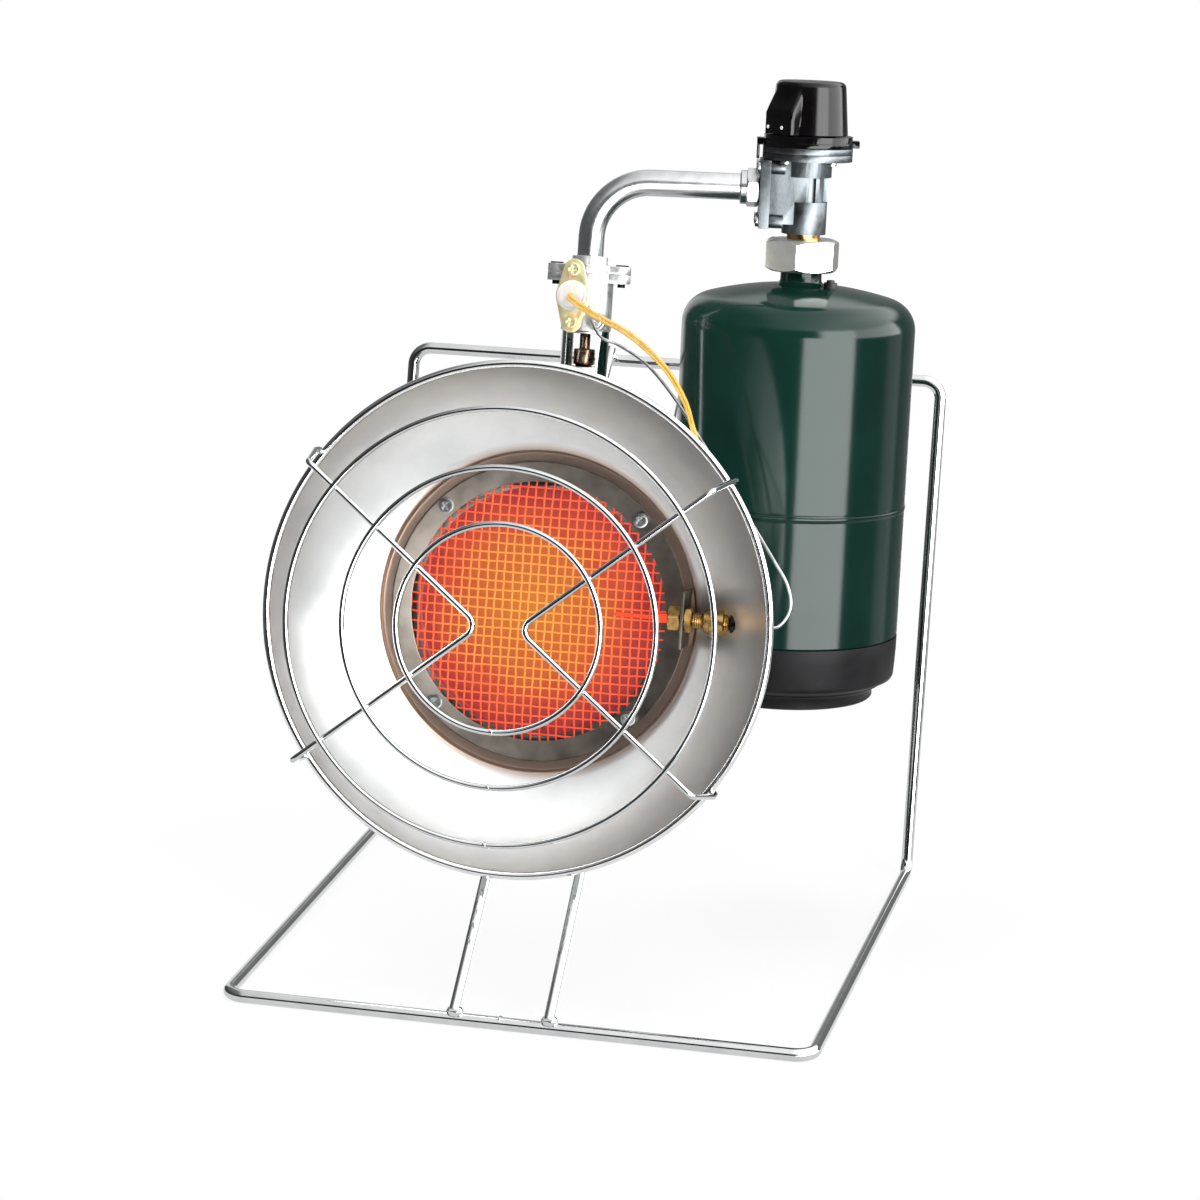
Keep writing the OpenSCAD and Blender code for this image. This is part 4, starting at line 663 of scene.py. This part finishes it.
def build_burner():
    """The clamp ring has a raised outer edge. The bed is a shallow dish with a turned-up edge."""
    face = FLOOR_DEPTH - SHEET
    ring = [(CLAMP_IN, face + 0.2), (CLAMP_IN + 0.3, face), (CLAMP_OUT - 1.4, face),
            (CLAMP_OUT - 0.8, face - 0.3), (CLAMP_OUT - 0.2, face - 0.3), (CLAMP_OUT, face),
            (CLAMP_OUT, FLOOR_DEPTH - 0.1), (CLAMP_OUT - 0.2, FLOOR_DEPTH),
            (CLAMP_IN + 0.3, FLOOR_DEPTH), (CLAMP_IN, FLOOR_DEPTH - 0.2)]
    piece("screen_clamp_ring", *lathe(HEAD_SEAT, ring, 192), hot_sheet, "stand", ["screen_ring"],
          "satin_steel")
    bed = [(AXIS, 47.2), (20, 47.3), (35, 47.6), (46, 48.0), (BED_R - 1.3, 48.2), (BED_R - 0.6, 47.6),
           (BED_R - 0.5, 44.7), (BED_R, 44.6), (BED_R, 48.6), (BED_R - 0.7, 49.3), (46, 49.4),
           (20, 48.5), (AXIS, 48.4)]
    unlit(piece("burner_bed", *lathe(HEAD_SEAT, bed, 128, loop=False), bed_hot, "stand",
                ["baffle_plate"], "burner_steel"))


# Woven cloth: the gaps between neighbouring wires each way, then wire radius, sway and edge radius
PITCHES = (3.55, 3.85)
CLOTH_WIRE, SWAY, CLOTH_R = 0.38, 0.36, 53.4


def cloth_depth(r):
    """The cloth is pressed forward: flat in the middle, 3.9 (r / 53.6)^7 deeper towards the ring."""
    return 41.6 + 3.9 * (r / 53.6) ** 7


def build_screen():
    """Each wire goes over and under its neighbours: depth = cloth depth + or - sway cos(pi s / pitch).

    A slow sine of 0.18 mm shakes each wire out of line.
    """
    wires = []
    for across in (0, 1):
        gap, pitch = PITCHES[across], PITCHES[1 - across]
        count = int(CLOTH_R / gap)
        for i in range(-count, count + 1):
            offset = i * gap
            half = math.sqrt(max(CLOTH_R ** 2 - offset ** 2, 4.0))
            s = np.arange(-half, half + 0.01, pitch / 5)
            wave = SWAY * np.cos(pi * s / pitch) * (-1) ** i * (1 if across else -1)
            depth = cloth_depth(np.hypot(s, offset)) + wave
            shaken = offset + 0.18 * np.sin(1.7 * i + 0.11 * s + 2.0 * across)
            x, y = (s, shaken) if across else (shaken, s)
            line = at(HEAD_SEAT, np.stack([x, y, depth], -1))
            wires.append(tube(line, CLOTH_WIRE, 6, lean=UP if across else X + 0.3 * Z))
    unlit(piece("screen_cloth", *join(*wires), screen_wire_hot, "stand", ["burner_screen"], "hot_screen",
                sharp=80))


build_bowl()
build_burner()
build_screen()


# Guard

GUARD = 1.15
GUARD_DEPTH = -28.0
CORNER_R, CORNER_ANGLE, POINT_X = 98.4, math.radians(36.4), 7.5
HOOK_R, HOOK_DEPTH = EDGE_R + BEAD_R + GUARD + 0.1, BEAD_R + GUARD + 0.3
RING_DEPTH = GUARD_DEPTH - 2 * GUARD - 0.05
RINGS = {"guard_ring_outer": 84.3, "guard_ring_middle": 61.8, "guard_ring_inner": 40.2}


def build_guard():
    """Two bent V wires, hooked over the rim, and three rings: r (cos t, sin t) before the wires."""
    for side, name in ((-1, "guard_v_left"), (1, "guard_v_right")):
        legs = []
        for way in (1, -1):
            x, z = side * math.cos(CORNER_ANGLE), way * math.sin(CORNER_ANGLE)
            path = [(EDGE_R + 0.6, HOOK_DEPTH), (HOOK_R, HOOK_DEPTH), (HOOK_R, -3.2),
                    (CORNER_R, GUARD_DEPTH)]
            legs.append([head(r * x, depth, r * z) for r, depth in path])
        corners = legs[0] + [head(side * POINT_X, GUARD_DEPTH, 0)] + legs[1][::-1]
        line = rounded(corners, [0, 1.25, 3, 3, 5, 3, 3, 1.25, 0])
        piece(name + "_wire", *tube(line, GUARD, 20, nose=0.3), chrome_wire, "stand", [name], "chrome_wire")
    t = np.linspace(0, 2 * pi, 180, endpoint=False)[:, None]
    for name, r in RINGS.items():
        line = head(0, RING_DEPTH, 0) + r * (np.cos(t) * X + np.sin(t) * UP)
        ring = tube(line, GUARD, 20, loop=True, lean=BACK)
        # The ends of each ring are welded side by side at the bottom
        weld = lump(head(0, RING_DEPTH, -r), (1.6, 1.28, 1.28), (X, UP, BACK), 0.05)
        piece(name + "_wire", *join(ring, weld), chrome_wire, "stand", [name], "chrome_wire")


build_guard()


# Flame sensor

BARREL_R, BARREL_START, BARREL_END = 3.2, 56.0, 85.6
THREAD_PITCH, THREAD_DEEP = 0.9, 0.28


def threaded(seat, r, low, high):
    """A threaded rod as rings: the radius falls by the thread's depth between crests a pitch apart."""
    n = int((high - low) / THREAD_PITCH)
    run = high - low - 0.8
    crest = [(r - THREAD_DEEP * (i % 2), low + 0.4 + run * i / (2 * n)) for i in range(2 * n + 1)]
    return lathe(seat, [(r - 0.5, low)] + crest + [(r - 0.5, high)], 40, loop=False)


def build_sensor():
    """Heights run to the right of the burner's axis: needle, barrel, two nuts, bush and sleeve."""
    bore = BARREL_R + 0.05
    needle = [(0.25, 33.8), (0.6, 34.2), (0.8, 35.5), (0.8, 49.0), (1.1, 49.8), (1.7, 50.4), (1.7, 55.9)]
    piece("sensor_needle", *lathe(SENSOR_SEAT, needle, 24, loop=False), needle_hot, "stand",
          slot="hot_screen")
    piece("sensor_barrel", *threaded(SENSOR_SEAT, BARREL_R, BARREL_START, BARREL_END), brass, "stand",
          ["thermocouple_probe"], "brass")
    nuts = [hex_nut(SENSOR_SEAT, 5.6, 56.1, 61.3, bore, turn=0.3),
            hex_nut(SENSOR_SEAT, 5.6, 62.8, 66.0, bore, turn=0.55)]
    piece("sensor_nuts", *join(*nuts), brass, "stand", ["thermocouple_nuts"], "brass")
    # The flanged bush that carries the barrel through the bowl
    bush = [(3.3, 70.6), (4.4, 70.6), (4.7, 70.9), (4.7, 73.0), (5.9, 73.2), (6.2, 73.5), (6.2, 74.6),
            (5.9, 74.9), (4.9, 75.1), (4.9, 78.6), (3.3, 78.6)]
    piece("sensor_washer", *lathe(SENSOR_SEAT, bush, 48), brass, "stand", slot="brass")
    soften("thermocouple_bracket", 0.35, hot_sheet, "stand")
    sleeve = ([(0.4, 90.1)] + arc(3.5, 89.3, 0.8, 90, 0, 4) + arc(3.5, 81.9, 0.8, 0, -60, 3)
              + [(bore, 81.2), (bore, 81.1), (bore, 85.0), (0.4, 85.0)])
    piece("lead_sleeve", *lathe(SENSOR_SEAT, sleeve, 40), knob_plastic, "stand", ["junction_sleeve"],
          "black_plastic")


build_sensor()


# Leads

LEAD = 0.65
# Half the distance between the two yellow leads
PAIR = 0.74
# The capillary's nut and the tilt switch on the valve's front face
LEAD_X, LEAD_Z = 6.2, VALVE_FOOT + 4.2
SWITCH_OFF, SWITCH_Z = 4.0, VALVE_FOOT + 0.7 * 20.3
SWITCH_FACE = 11.5

CAPILLARY = [[84, -68, 151], [88, -66, 158], [86, -64, 167], [80, -60, 175], [70, -50, 186],
             [58, -40, 200], [44, -30, 216], [30, -18, 231], [16, -8, 243], [3, -4, 250], [-5, -4, 253]]
SWITCH_ROUTE = [[-19, 2, 267], [-9, -2, 262], [9, -10, 255], [25, -19, 244], [35, -26, 232],
                [40, -31, 221], [44, -35, 213], [52, -42, 198], [60, -50, 182], [66, -57, 168],
                [69, -62, 158]]


def build_leads():
    """The capillary, and the two yellow leads side by side, each a smooth line through its route."""
    sensor_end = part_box("thermocouple_probe")[1][0] / MM - BOWL[0]
    start = head(sensor_end + 4.5, SENSOR_DEPTH, SENSOR_Z)
    end = head(LEAD_X, VALVE_DEPTH - SWITCH_FACE - 4, LEAD_Z)
    route = [start, start + 3 * X] + [vec(*p) for p in CAPILLARY] + [end - 3 * BACK, end]
    piece("sensor_capillary", *tube(smooth(route, 8), LEAD, 12), zinc, "stand", ["thermocouple_lead"],
          "zinc_steel")
    start = head(-SWITCH_OFF, VALVE_DEPTH - SWITCH_FACE - 5, SWITCH_Z)
    end = head(sensor_end, SENSOR_DEPTH, SENSOR_Z + 4.3)
    for side, name in ((-1, "switch_lead_left"), (1, "switch_lead_right")):
        shift = side * PAIR * unit(vec(0.4, 0, 0.9))
        tail = side * PAIR * X
        route = ([start + shift, start + shift - 3 * BACK] + [vec(*p) + shift for p in SWITCH_ROUTE]
                 + [end + tail + 3 * UP, end + tail])
        line = smooth(route, 6)
        lead = piece(name, *tube(line, LEAD, 14), lead_plastic, "stand", ["switch_leads"], "yellow_lead")


build_leads()


# Safety valve and the parts that hold the burner

# Nodes that keep the CAD's form, with rounded edges: name, width of the rounding, finish and slot
# The valve's body and cap take the lighter, painted-light copy of the zinc casting's finish
STAND_CASTINGS = [("valve_body", 0.5, lit_cast_copy, "die_cast"),
                  ("valve_cap", 0.5, lit_cast_copy, "die_cast"),
                  ("lug_screws", 0.2, black_steel, "black_steel"),
                  ("switch_plate", 0.3, yellow_zinc, "yellow_zinc"),
                  ("plate_screws", 0.3, yellow_zinc, "yellow_zinc"),
                  ("flange_screws", 0.3, zinc, "zinc_steel"),
                  ("burner_bracket", 0.3, zinc, "zinc_steel"),
                  ("bracket_screws", 0.3, zinc, "zinc_steel"),
                  ("burner_pan", 0.5, hot_sheet, "burner_steel"),
                  ("mixing_tube", 0.3, bright_tube, "zinc_steel"),
                  ("orifice_jet", 0.5, burnt_brass, "brass")]
for node, width, material, slot in STAND_CASTINGS:
    soften(node, width, material, "stand")


def build_valve_parts():
    """The tilt switch's stepped round case, and the domed nut of the capillary."""
    seat = moved(FRONT_SEAT, x=-SWITCH_OFF, y=SWITCH_Z, z=SWITCH_FACE + 1)
    case = ([(AXIS, 4.2)] + arc(4.4, 3.4, 0.8, 90, 20, 4) + [(5.3, 2.6)] + arc(5.6, 1.8, 0.8, 80, 0, 4)
            + [(6.4, 0), (AXIS, 0)])
    piece("tilt_switch_case", *lathe(seat, case, 64, loop=False), switch_plastic, "stand",
          ["tilt_switch"], "white_ceramic")
    seat = moved(FRONT_SEAT, x=LEAD_X, y=LEAD_Z, z=SWITCH_FACE)
    cap = [(AXIS, 4)] + arc(2.3, 2.8, 1.2, 90, 0, 5) + [(3.5, 0), (AXIS, 0)]
    piece("capillary_cap", *lathe(seat, cap, 48, loop=False), nickel, "stand", ["lead_nut"], "zinc_steel")


build_valve_parts()

BUTTON_Z = VALVE_FOOT + 10.15
# The boss that the button enters ends at BOSS_FACE, and the button's head stands off by BUTTON_GAP
BOSS_FACE, BUTTON_GAP = 14.0, 5.0
COIL_R, COIL_WIRE, COIL_TURNS = 3.1, 0.35, 4


def build_button():
    """The button, and its coil: (r cos a, r sin a, height) with the height in step with the angle."""
    seat = moved(BUTTON_SEAT, y=-BUTTON_Z)
    head_at = BOSS_FACE + BUTTON_GAP
    cap = [(AXIS, head_at + 3)] + arc(4.0, head_at + 2.2, 0.8, 90, 0, 5)
    cap += arc(4.2, head_at + 0.6, 0.6, 0, -90, 3)
    stem = [(2.0, head_at), (2.0, head_at - 11), (AXIS, head_at - 11)]
    piece("safety_button", *lathe(seat, cap + stem, 64, loop=False), knob_plastic, "button",
          ["push_button"], "black_plastic")
    t = np.linspace(0, 1, COIL_TURNS * 24 + 1)
    turn = 2 * pi * COIL_TURNS * t
    height = BOSS_FACE + 0.4 + (BUTTON_GAP - 0.8) * t
    line = at(seat, np.stack([COIL_R * np.cos(turn), COIL_R * np.sin(turn), height], -1))
    coil = piece("button_coil", *tube(line, COIL_WIRE, 8, lean=BACK), zinc, "stand", ["button_spring"],
                 "zinc_steel")
    # Pressed home, the button leaves 1 mm of the gap
    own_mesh(coil)


build_button()


# Gas line and regulator

GAS_TUBE_R, GAS_TUBE_BEND = 5.5, 24
# The tube ends this far before the regulator's axis
GAS_TUBE_SHORT = 11


def build_gas_tube():
    """The tube with its one bend and the bead rolled into it, and the union's nut and collar."""
    r = GAS_TUBE_R
    line = rounded([tube_foot, tube_corner, REG - AIM * GAS_TUBE_SHORT], [0, GAS_TUBE_BEND, 0])
    bead = [(r - 0.1, -21.0), (r + 0.9, -20.9), (r + 1.2, -20.5), (r + 1.2, -20.0), (r + 0.9, -19.6),
            (r - 0.1, -19.5)]
    piece("gas_tube_chrome", *join(tube(line, r, 48, nose=0.3), lathe(UNION_SEAT, bead, 64)), chrome_tube,
          "stand", ["gas_tube"], "tube_chrome")
    bore = r + 0.05
    nut = hex_nut(UNION_SEAT, 8.4, -25.0, -19.4, bore, turn=0.2)
    collar = [(bore, -27.2), (5.9, -27.4), (6.7, -27.4), (7.05, -27.1), (7.05, -24.9), (bore, -24.9)]
    piece("union_nut_chrome", *join(nut, lathe(UNION_SEAT, collar, 64)), chrome_tube, "regulator",
          ["union_nut"], "tube_chrome")


build_gas_tube()
REGULATOR_CASTINGS = [("regulator_body", 0.5, die_cast, "die_cast", 2),
                      ("side_plate", 0.6, die_cast, "die_cast", 2),
                      ("bonnet", 0.5, die_cast, "die_cast", 2),
                      ("side_plate_screws", 0.3, zinc, "zinc_steel", 2),
                      ("bonnet_screws", 0.3, zinc, "zinc_steel", 2),
                      ("knob_bezel", 0.5, knob_plastic, "black_plastic", 3)]
for node, width, material, slot, segments in REGULATOR_CASTINGS:
    soften(node, width, material, "regulator", segments)

KNOB_FOOT, KNOB_H = 23.0, 22.0
KNOB_FOOT_R, KNOB_TAPER, KNOB_EDGE = 16.4, 1.9, 2.2
KNOB_BORE_R, KNOB_HOLLOW = 11.6, 9.2
WEDGE_AT, WEDGE_REACH, WEDGE_HALF = math.radians(-138), 18.6, 8.5
# The wedge stands upright up to this share of the knob's height, then leans back by its slope
WEDGE_UPRIGHT, WEDGE_SLOPE = 0.42, 13.2
MARK_R = 0.8


def knob_row(height, inset):
    """The knob's outline at a height: the larger of a circle and a blunt wedge on one side.

    The wedge's radius at angle a from its middle is 1 / ((cos a / reach)^10 + (sin a / half)^10)^0.1,
    a box with round corners.
    """
    a = np.linspace(-pi, pi, 240, endpoint=False)
    off = (a - WEDGE_AT + pi) % (2 * pi) - pi
    share = (height - KNOB_FOOT) / KNOB_H
    reach = WEDGE_REACH - max(share - WEDGE_UPRIGHT, 0) * WEDGE_SLOPE
    box = 1 / ((np.abs(np.cos(off)) / reach) ** 10 + (np.abs(np.sin(off)) / WEDGE_HALF) ** 10) ** 0.1
    box = np.where(np.abs(off) < 0.9, box, 0)
    r = np.maximum(KNOB_FOOT_R - KNOB_TAPER * share, box) - inset
    return np.stack([r * np.cos(a), r * np.sin(a), height + 0 * a], -1)


def build_knob():
    """The knob is hollow under its roof, and rounded at the top: inset = edge (1 - cos q)."""
    walls = [KNOB_FOOT + h for h in (0.4, 1.5, 3.1, 4, 6, 9, 12, 15, 18, KNOB_H - KNOB_EDGE)]
    rows = [(KNOB_FOOT, 0.4)] + [(height, 0.0) for height in walls]
    for q in np.radians([20, 40, 60, 75, 90]):
        rows.append((KNOB_FOOT + KNOB_H - KNOB_EDGE * (1 - math.sin(q)), KNOB_EDGE * (1 - math.cos(q))))
    a = np.linspace(-pi, pi, 240, endpoint=False)
    hollow = [np.stack([KNOB_BORE_R * np.cos(a), KNOB_BORE_R * np.sin(a), height + 0 * a], -1)
              for height in (KNOB_FOOT + KNOB_HOLLOW, KNOB_FOOT)]
    rings = np.stack(hollow + [knob_row(height, inset) for height, inset in rows])
    piece("knob_cap", *skin(at(REG_SEAT, rings)), knob_plastic, "knob", ["control_knob"], "black_plastic")
    # Two plain white setting marks on the wedge's face
    out = math.cos(WEDGE_AT) * AIM + math.sin(WEDGE_AT) * SIDE
    along = np.cross(Z, out)
    mark = [(AXIS, 0.08), (MARK_R - 0.1, 0.08), (MARK_R, 0.0), (MARK_R, -0.3), (AXIS, -0.3)]
    face = REG + (WEDGE_REACH - 0.02) * out + (KNOB_FOOT + 3.0) * Z
    dots = [lathe((face + shift * along, along, Z, out), mark, 24, loop=False) for shift in (-5.4, 2.8)]
    piece("knob_marks", *join(*dots), mark_paint, "knob", slot="white_ceramic")


def build_inlet():
    """The brass stem with its flange, and the large hexagon nut with its lid."""
    stem = [(2.0, -24.5), (9.0, -24.5), (9.0, -22.5), (7.0, -22.5), (7.0, -18.4), (2.0, -18.4)]
    piece("inlet_stem_brass", *lathe(REG_SEAT, stem, 64), brass, "regulator", ["inlet_stem"], "brass")
    nut = hex_nut(REG_SEAT, 16.5, -34.0, -20.5, 12.8, turn=math.radians(49))
    lid = [(7.1, -22.6), (12.9, -22.6), (12.9, -20.6), (7.1, -20.6)]
    piece("cylinder_nut_plated", *join(nut, lathe(REG_SEAT, lid, 64)), nickel, "regulator",
          ["cylinder_nut"], "tube_chrome")


build_knob()
build_inlet()


# Cylinder

CYL_R, KNUCKLE = 49.25, 13
# Heights from the regulator's middle: the dome's top and foot, the seam and the foot cup's edge
APEX = -39.3
SHOULDER = APEX - 18
SEAM = APEX - 92.5
CUP = APEX - 147.8
NECK_R, NECK_TOP = 8.7, -34.0
CUP_FOOT = CUP - 27.8


def dome(r, h, neck, n=14):
    """Half a torispherical end as (radius, height above its foot): a knuckle arc, then the crown's.

    The crown's radius is (h^2 + (r - knuckle)^2 - knuckle^2) / (2 (h - knuckle)).
    """
    crown = (h ** 2 + (r - KNUCKLE) ** 2 - KNUCKLE ** 2) / (2 * (h - KNUCKLE))
    lean = math.degrees(math.asin((r - KNUCKLE) / (crown - KNUCKLE)))
    last = math.degrees(math.acos(neck / crown)) if neck else 90
    return arc(r - KNUCKLE, 0, KNUCKLE, 0, 90 - lean, n) + arc(0, h - crown, crown, 90 - lean, last, n)[1:]


def build_shell():
    """The shell's profile from its base up: base dome, wall with a welded seam, top dome and neck."""
    base = [(r, CUP - 6 - z) for r, z in dome(CYL_R - 1.3, 16, 0)][::-1]
    base[0] = (AXIS, base[0][1])
    # Points just off each feature keep the long straight wall from taking up its slope
    wall = [(CYL_R - 1.35, CUP - 3), (CYL_R - 0.85, CUP - 0.4), (CYL_R - 0.4, CUP + 0.1),
            (CYL_R, CUP + 0.6), (CYL_R, CUP + 1.2), (CYL_R, CUP + 2)]
    seam = [(0.0, -2.8), (0.0, -2.0), (0.0, -1.3), (0.1, -1.1), (0.35, -0.5), (0.38, 0.0), (0.35, 0.4),
            (-0.1, 0.7), (-0.15, 1.0), (0.0, 1.5), (0.0, 2.2), (0.0, 3.0)]
    wall += [(CYL_R + out, SEAM + up) for out, up in seam]
    wall += [(CYL_R, SHOULDER - 1.6), (CYL_R, SHOULDER - 0.8)]
    top = [(r, z + SHOULDER) for r, z in dome(CYL_R, 18, NECK_R)]
    neck = [(NECK_R + 0.9, APEX + 0.25), (NECK_R + 0.2, APEX + 0.9), (NECK_R, APEX + 1.8),
            (NECK_R, NECK_TOP - 0.2), (NECK_R - 0.2, NECK_TOP), (AXIS, NECK_TOP)]
    piece("cylinder_enamel", *lathe(REG_SEAT, base + wall + top[:-1] + neck, 256, loop=False),
          green_enamel, "cylinder", ["cylinder_shell"], "green_paint")


def build_foot_cup():
    """Foot cup: a flared skirt, a turned-in shoulder with two grooves and the foot ring."""
    outside = [(CYL_R - 0.05, CUP - 0.25), (CYL_R + 0.05, CUP - 0.8), (CYL_R, CUP - 6),
               (CYL_R - 0.3, CUP - 13)]
    outside += arc(CYL_R - 3.9, CUP - 16.5, 3.4, 0, -38, 5)
    lower = [(44.0, 7.2), (43.8, 6.6), (42.4, 5.9), (41.6, 5.1), (41.0, 4.6), (40.2, 4.4), (40.0, 4.0),
             (40.0, 0.8), (39.4, 0.2), (38.6, 0), (37.0, 0), (36.6, 0.4), (36.4, 6.4), (39.5, 6.5),
             (47.2, 11.6), (CYL_R - 1.2, 14)]
    inside = [(CYL_R - 1.2, CUP - 0.35), (CYL_R - 0.95, CUP - 0.15)]
    profile = outside + [(r, CUP_FOOT + up) for r, up in lower] + inside
    piece("foot_cup_moulded", *lathe(REG_SEAT, profile, 192), cup_plastic, "cylinder", ["foot_cup"],
          "cup_plastic")


build_shell()
build_foot_cup()
soften("relief_valve", 0.2, black_rubber, "cylinder")

# CAD nodes that keep their shape take their real finish
KEPT = {"union_seal": black_rubber, "diaphragm": black_rubber, "regulator_spring": zinc,
        "spring_cap": brass, "knob_shaft": zinc, "inlet_gasket": black_rubber, "depressor_pin": brass,
        "cylinder_neck": green_enamel, "valve_core": brass}
for node, material in KEPT.items():
    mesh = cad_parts[node].data
    mesh.materials.clear()
    mesh.materials.append(material)


# Studio

# Metres from the middle: the white table's edge, and where it is pure white
FLOOR_R, FADE_START, FADE_R = 0.52, 0.20, 0.36
# The strength of the world's light for all but gloss and the camera
SOFT_LIGHT = 0.55
PEAK = 13.0
# What gloss meets, as (degrees round from the front towards the right, brightness): first behind,
# then all round below the horizon
BEHIND = [(-180, 0.25), (-166, 0.3), (-158, 1.0), (-146, 1.0), (-138, 0.1)]
LOWER = BEHIND + [(-90, 0.12), (-40, 0.08), (-20, 0.03), (13, 0.03), (14.5, PEAK), (65.5, PEAK),
                  (67, 0.1), (104, 0.2), (112, 0.9), (128, 0.9), (134, 0.2), (180, 0.25)]
# The same above the horizon, where the lit panel runs on to the right
UPPER = BEHIND + [(-40, 0.06), (-20, 0.03), (13, 0.03), (26, 0.4), (34, PEAK), (65.5, PEAK), (68, 7.0),
                  (125, 7.0), (130, 0.2), (180, 0.25)]
# The ceiling light, dim on the left: (x of the direction, brightness)
CEILING = [(-1, 0.12), (-0.5, 0.25), (-0.25, 1.2), (0, 1.6), (0.2, 2.2), (0.6, 4.5), (1, 4.5)]
# The ceiling begins between these elevations in degrees, and the upper band between these heights
CEILING_EDGE, HORIZON_EDGE = (22, 30), (0.0, 0.03)
# Area lamps: name, place and size in metres, power in watts. All face the heater's middle
LAMPS = [("key", (1.0, -1.2, 1.2), 0.9, 15), ("fill", (-1.1, -1.1, 1.1), 0.9, 11),
         ("top", (0.0, 0.3, 1.8), 1.0, 13)]
LAMP_TARGET = (0, 0, 0.18)


def seen_by(tree, *kinds):
    """One for rays of these kinds and zero for all others: the largest of their values."""
    rays = add(tree, "LightPath").outputs
    seen = rays[kinds[0]]
    for kind in kinds[1:]:
        seen = add(tree, "Math", {0: seen, 1: rays[kind]}, operation="MAXIMUM").outputs["Value"]
    return seen


def build_floor():
    """A white round table that keeps the heater's shadow, and is pure white towards its edge.

    The camera, gloss and clear pieces see mostly its own white light, and the rest sees matte white.
    """
    mat = bpy.data.materials.new("white_floor")
    mat.use_nodes = True
    tree = mat.node_tree
    tree.nodes.clear()
    place = add(tree, "TexCoord").outputs["Object"]
    away = add(tree, "VectorMath", {0: place}, operation="LENGTH")
    fade = add(tree, "MapRange", {"Value": away.outputs["Value"], "From Min": FADE_START,
                                  "From Max": FADE_R, "To Min": 0.84, "To Max": 1.0})
    seen = seen_by(tree, "Is Camera Ray", "Is Glossy Ray", "Is Transmission Ray")
    share = add(tree, "Math", {0: seen, 1: fade.outputs["Result"]}, operation="MULTIPLY")
    matte = add(tree, "BsdfDiffuse", {"Color": linear("#F4F4F4")})
    white = add(tree, "Emission", {"Color": (1, 1, 1, 1), "Strength": 1.0})
    mix = add(tree, "MixShader", {0: share.outputs["Value"], 1: matte.outputs[0], 2: white.outputs[0]})
    add(tree, "OutputMaterial", {"Surface": mix.outputs[0]})
    a = np.linspace(0, 2 * pi, 96, endpoint=False)
    points = np.stack([FLOOR_R * np.cos(a), FLOOR_R * np.sin(a), 0 * a], -1)
    mesh = bpy.data.meshes.new("floor")
    mesh.from_pydata(points.tolist(), [], [tuple(range(len(a)))])
    mesh.materials.append(mat)
    new_object("floor", mesh)


def surroundings(tree):
    """What gloss sees in each direction: two bands by azimuth, one above the other, and the ceiling."""
    way = add(tree, "TexCoord").outputs["Generated"]
    parts = add(tree, "SeparateXYZ", {"Vector": way}).outputs
    front = add(tree, "Math", {0: parts["Y"], 1: -1.0}, operation="MULTIPLY")
    angle = add(tree, "Math", {0: parts["X"], 1: front.outputs["Value"]}, operation="ARCTAN2")
    turn = add(tree, "Math", {0: angle.outputs["Value"], 1: 0.5 / pi, 2: 0.5},
               operation="MULTIPLY_ADD").outputs["Value"]
    bands = []
    for band in (LOWER, UPPER):
        stops = [(degrees / 360 + 0.5, light / PEAK) for degrees, light in band]
        bands.append(add(tree, "ValToRGB", {"Fac": turn}, stops).outputs["Color"])
    across = add(tree, "Math", {0: parts["X"], 1: 0.5, 2: 0.5}, operation="MULTIPLY_ADD")
    stops = [(x / 2 + 0.5, light / PEAK) for x, light in CEILING]
    ceiling = add(tree, "ValToRGB", {"Fac": across.outputs["Value"]}, stops).outputs["Color"]
    rise = add(tree, "MapRange", {"Value": parts["Z"], "From Min": HORIZON_EDGE[0],
                                  "From Max": HORIZON_EDGE[1]}).outputs["Result"]
    around = add(tree, "Mix", {"Factor": rise, "A": bands[0], "B": bands[1]}, data_type="RGBA")
    low, high = (math.sin(math.radians(a)) for a in CEILING_EDGE)
    above = add(tree, "MapRange", {"Value": parts["Z"], "From Min": low,
                                   "From Max": high}).outputs["Result"]
    whole = add(tree, "Mix", {"Factor": above, "A": around.outputs["Result"], "B": ceiling},
                data_type="RGBA")
    return whole.outputs["Result"]


def build_world():
    """White for the camera and clear pieces, the surroundings for gloss, and an even soft light."""
    world = bpy.data.worlds.new("studio")
    bpy.context.scene.world = world
    world.use_nodes = True
    tree = world.node_tree
    tree.nodes.clear()
    gloss = add(tree, "Background", {"Color": surroundings(tree), "Strength": PEAK})
    soft = add(tree, "Background", {"Color": (1, 1, 1, 1), "Strength": SOFT_LIGHT})
    white = add(tree, "Background", {"Color": (1, 1, 1, 1), "Strength": 1.0})
    lit = add(tree, "MixShader", {0: seen_by(tree, "Is Glossy Ray"), 1: soft.outputs[0],
                                  2: gloss.outputs[0]})
    seen = seen_by(tree, "Is Camera Ray", "Is Transmission Ray")
    whole = add(tree, "MixShader", {0: seen, 1: lit.outputs[0], 2: white.outputs[0]})
    add(tree, "OutputWorld", {"Surface": whole.outputs[0]})


def build_lamps():
    """Three large soft lamps for form and shadow. Gloss sees the world alone."""
    for name, place, size, power in LAMPS:
        data = bpy.data.lights.new(name, "AREA")
        data.size = size
        data.energy = power
        lamp = new_object(name, data)
        lamp.location = place
        aim = Vector(LAMP_TARGET) - lamp.location
        lamp.rotation_euler = aim.to_track_quat("-Z", "Y").to_euler()
        lamp.visible_glossy = False


build_floor()
build_world()
build_lamps()
bpy.context.scene.view_settings.view_transform = "Standard"

bpy.context.view_layer.update()
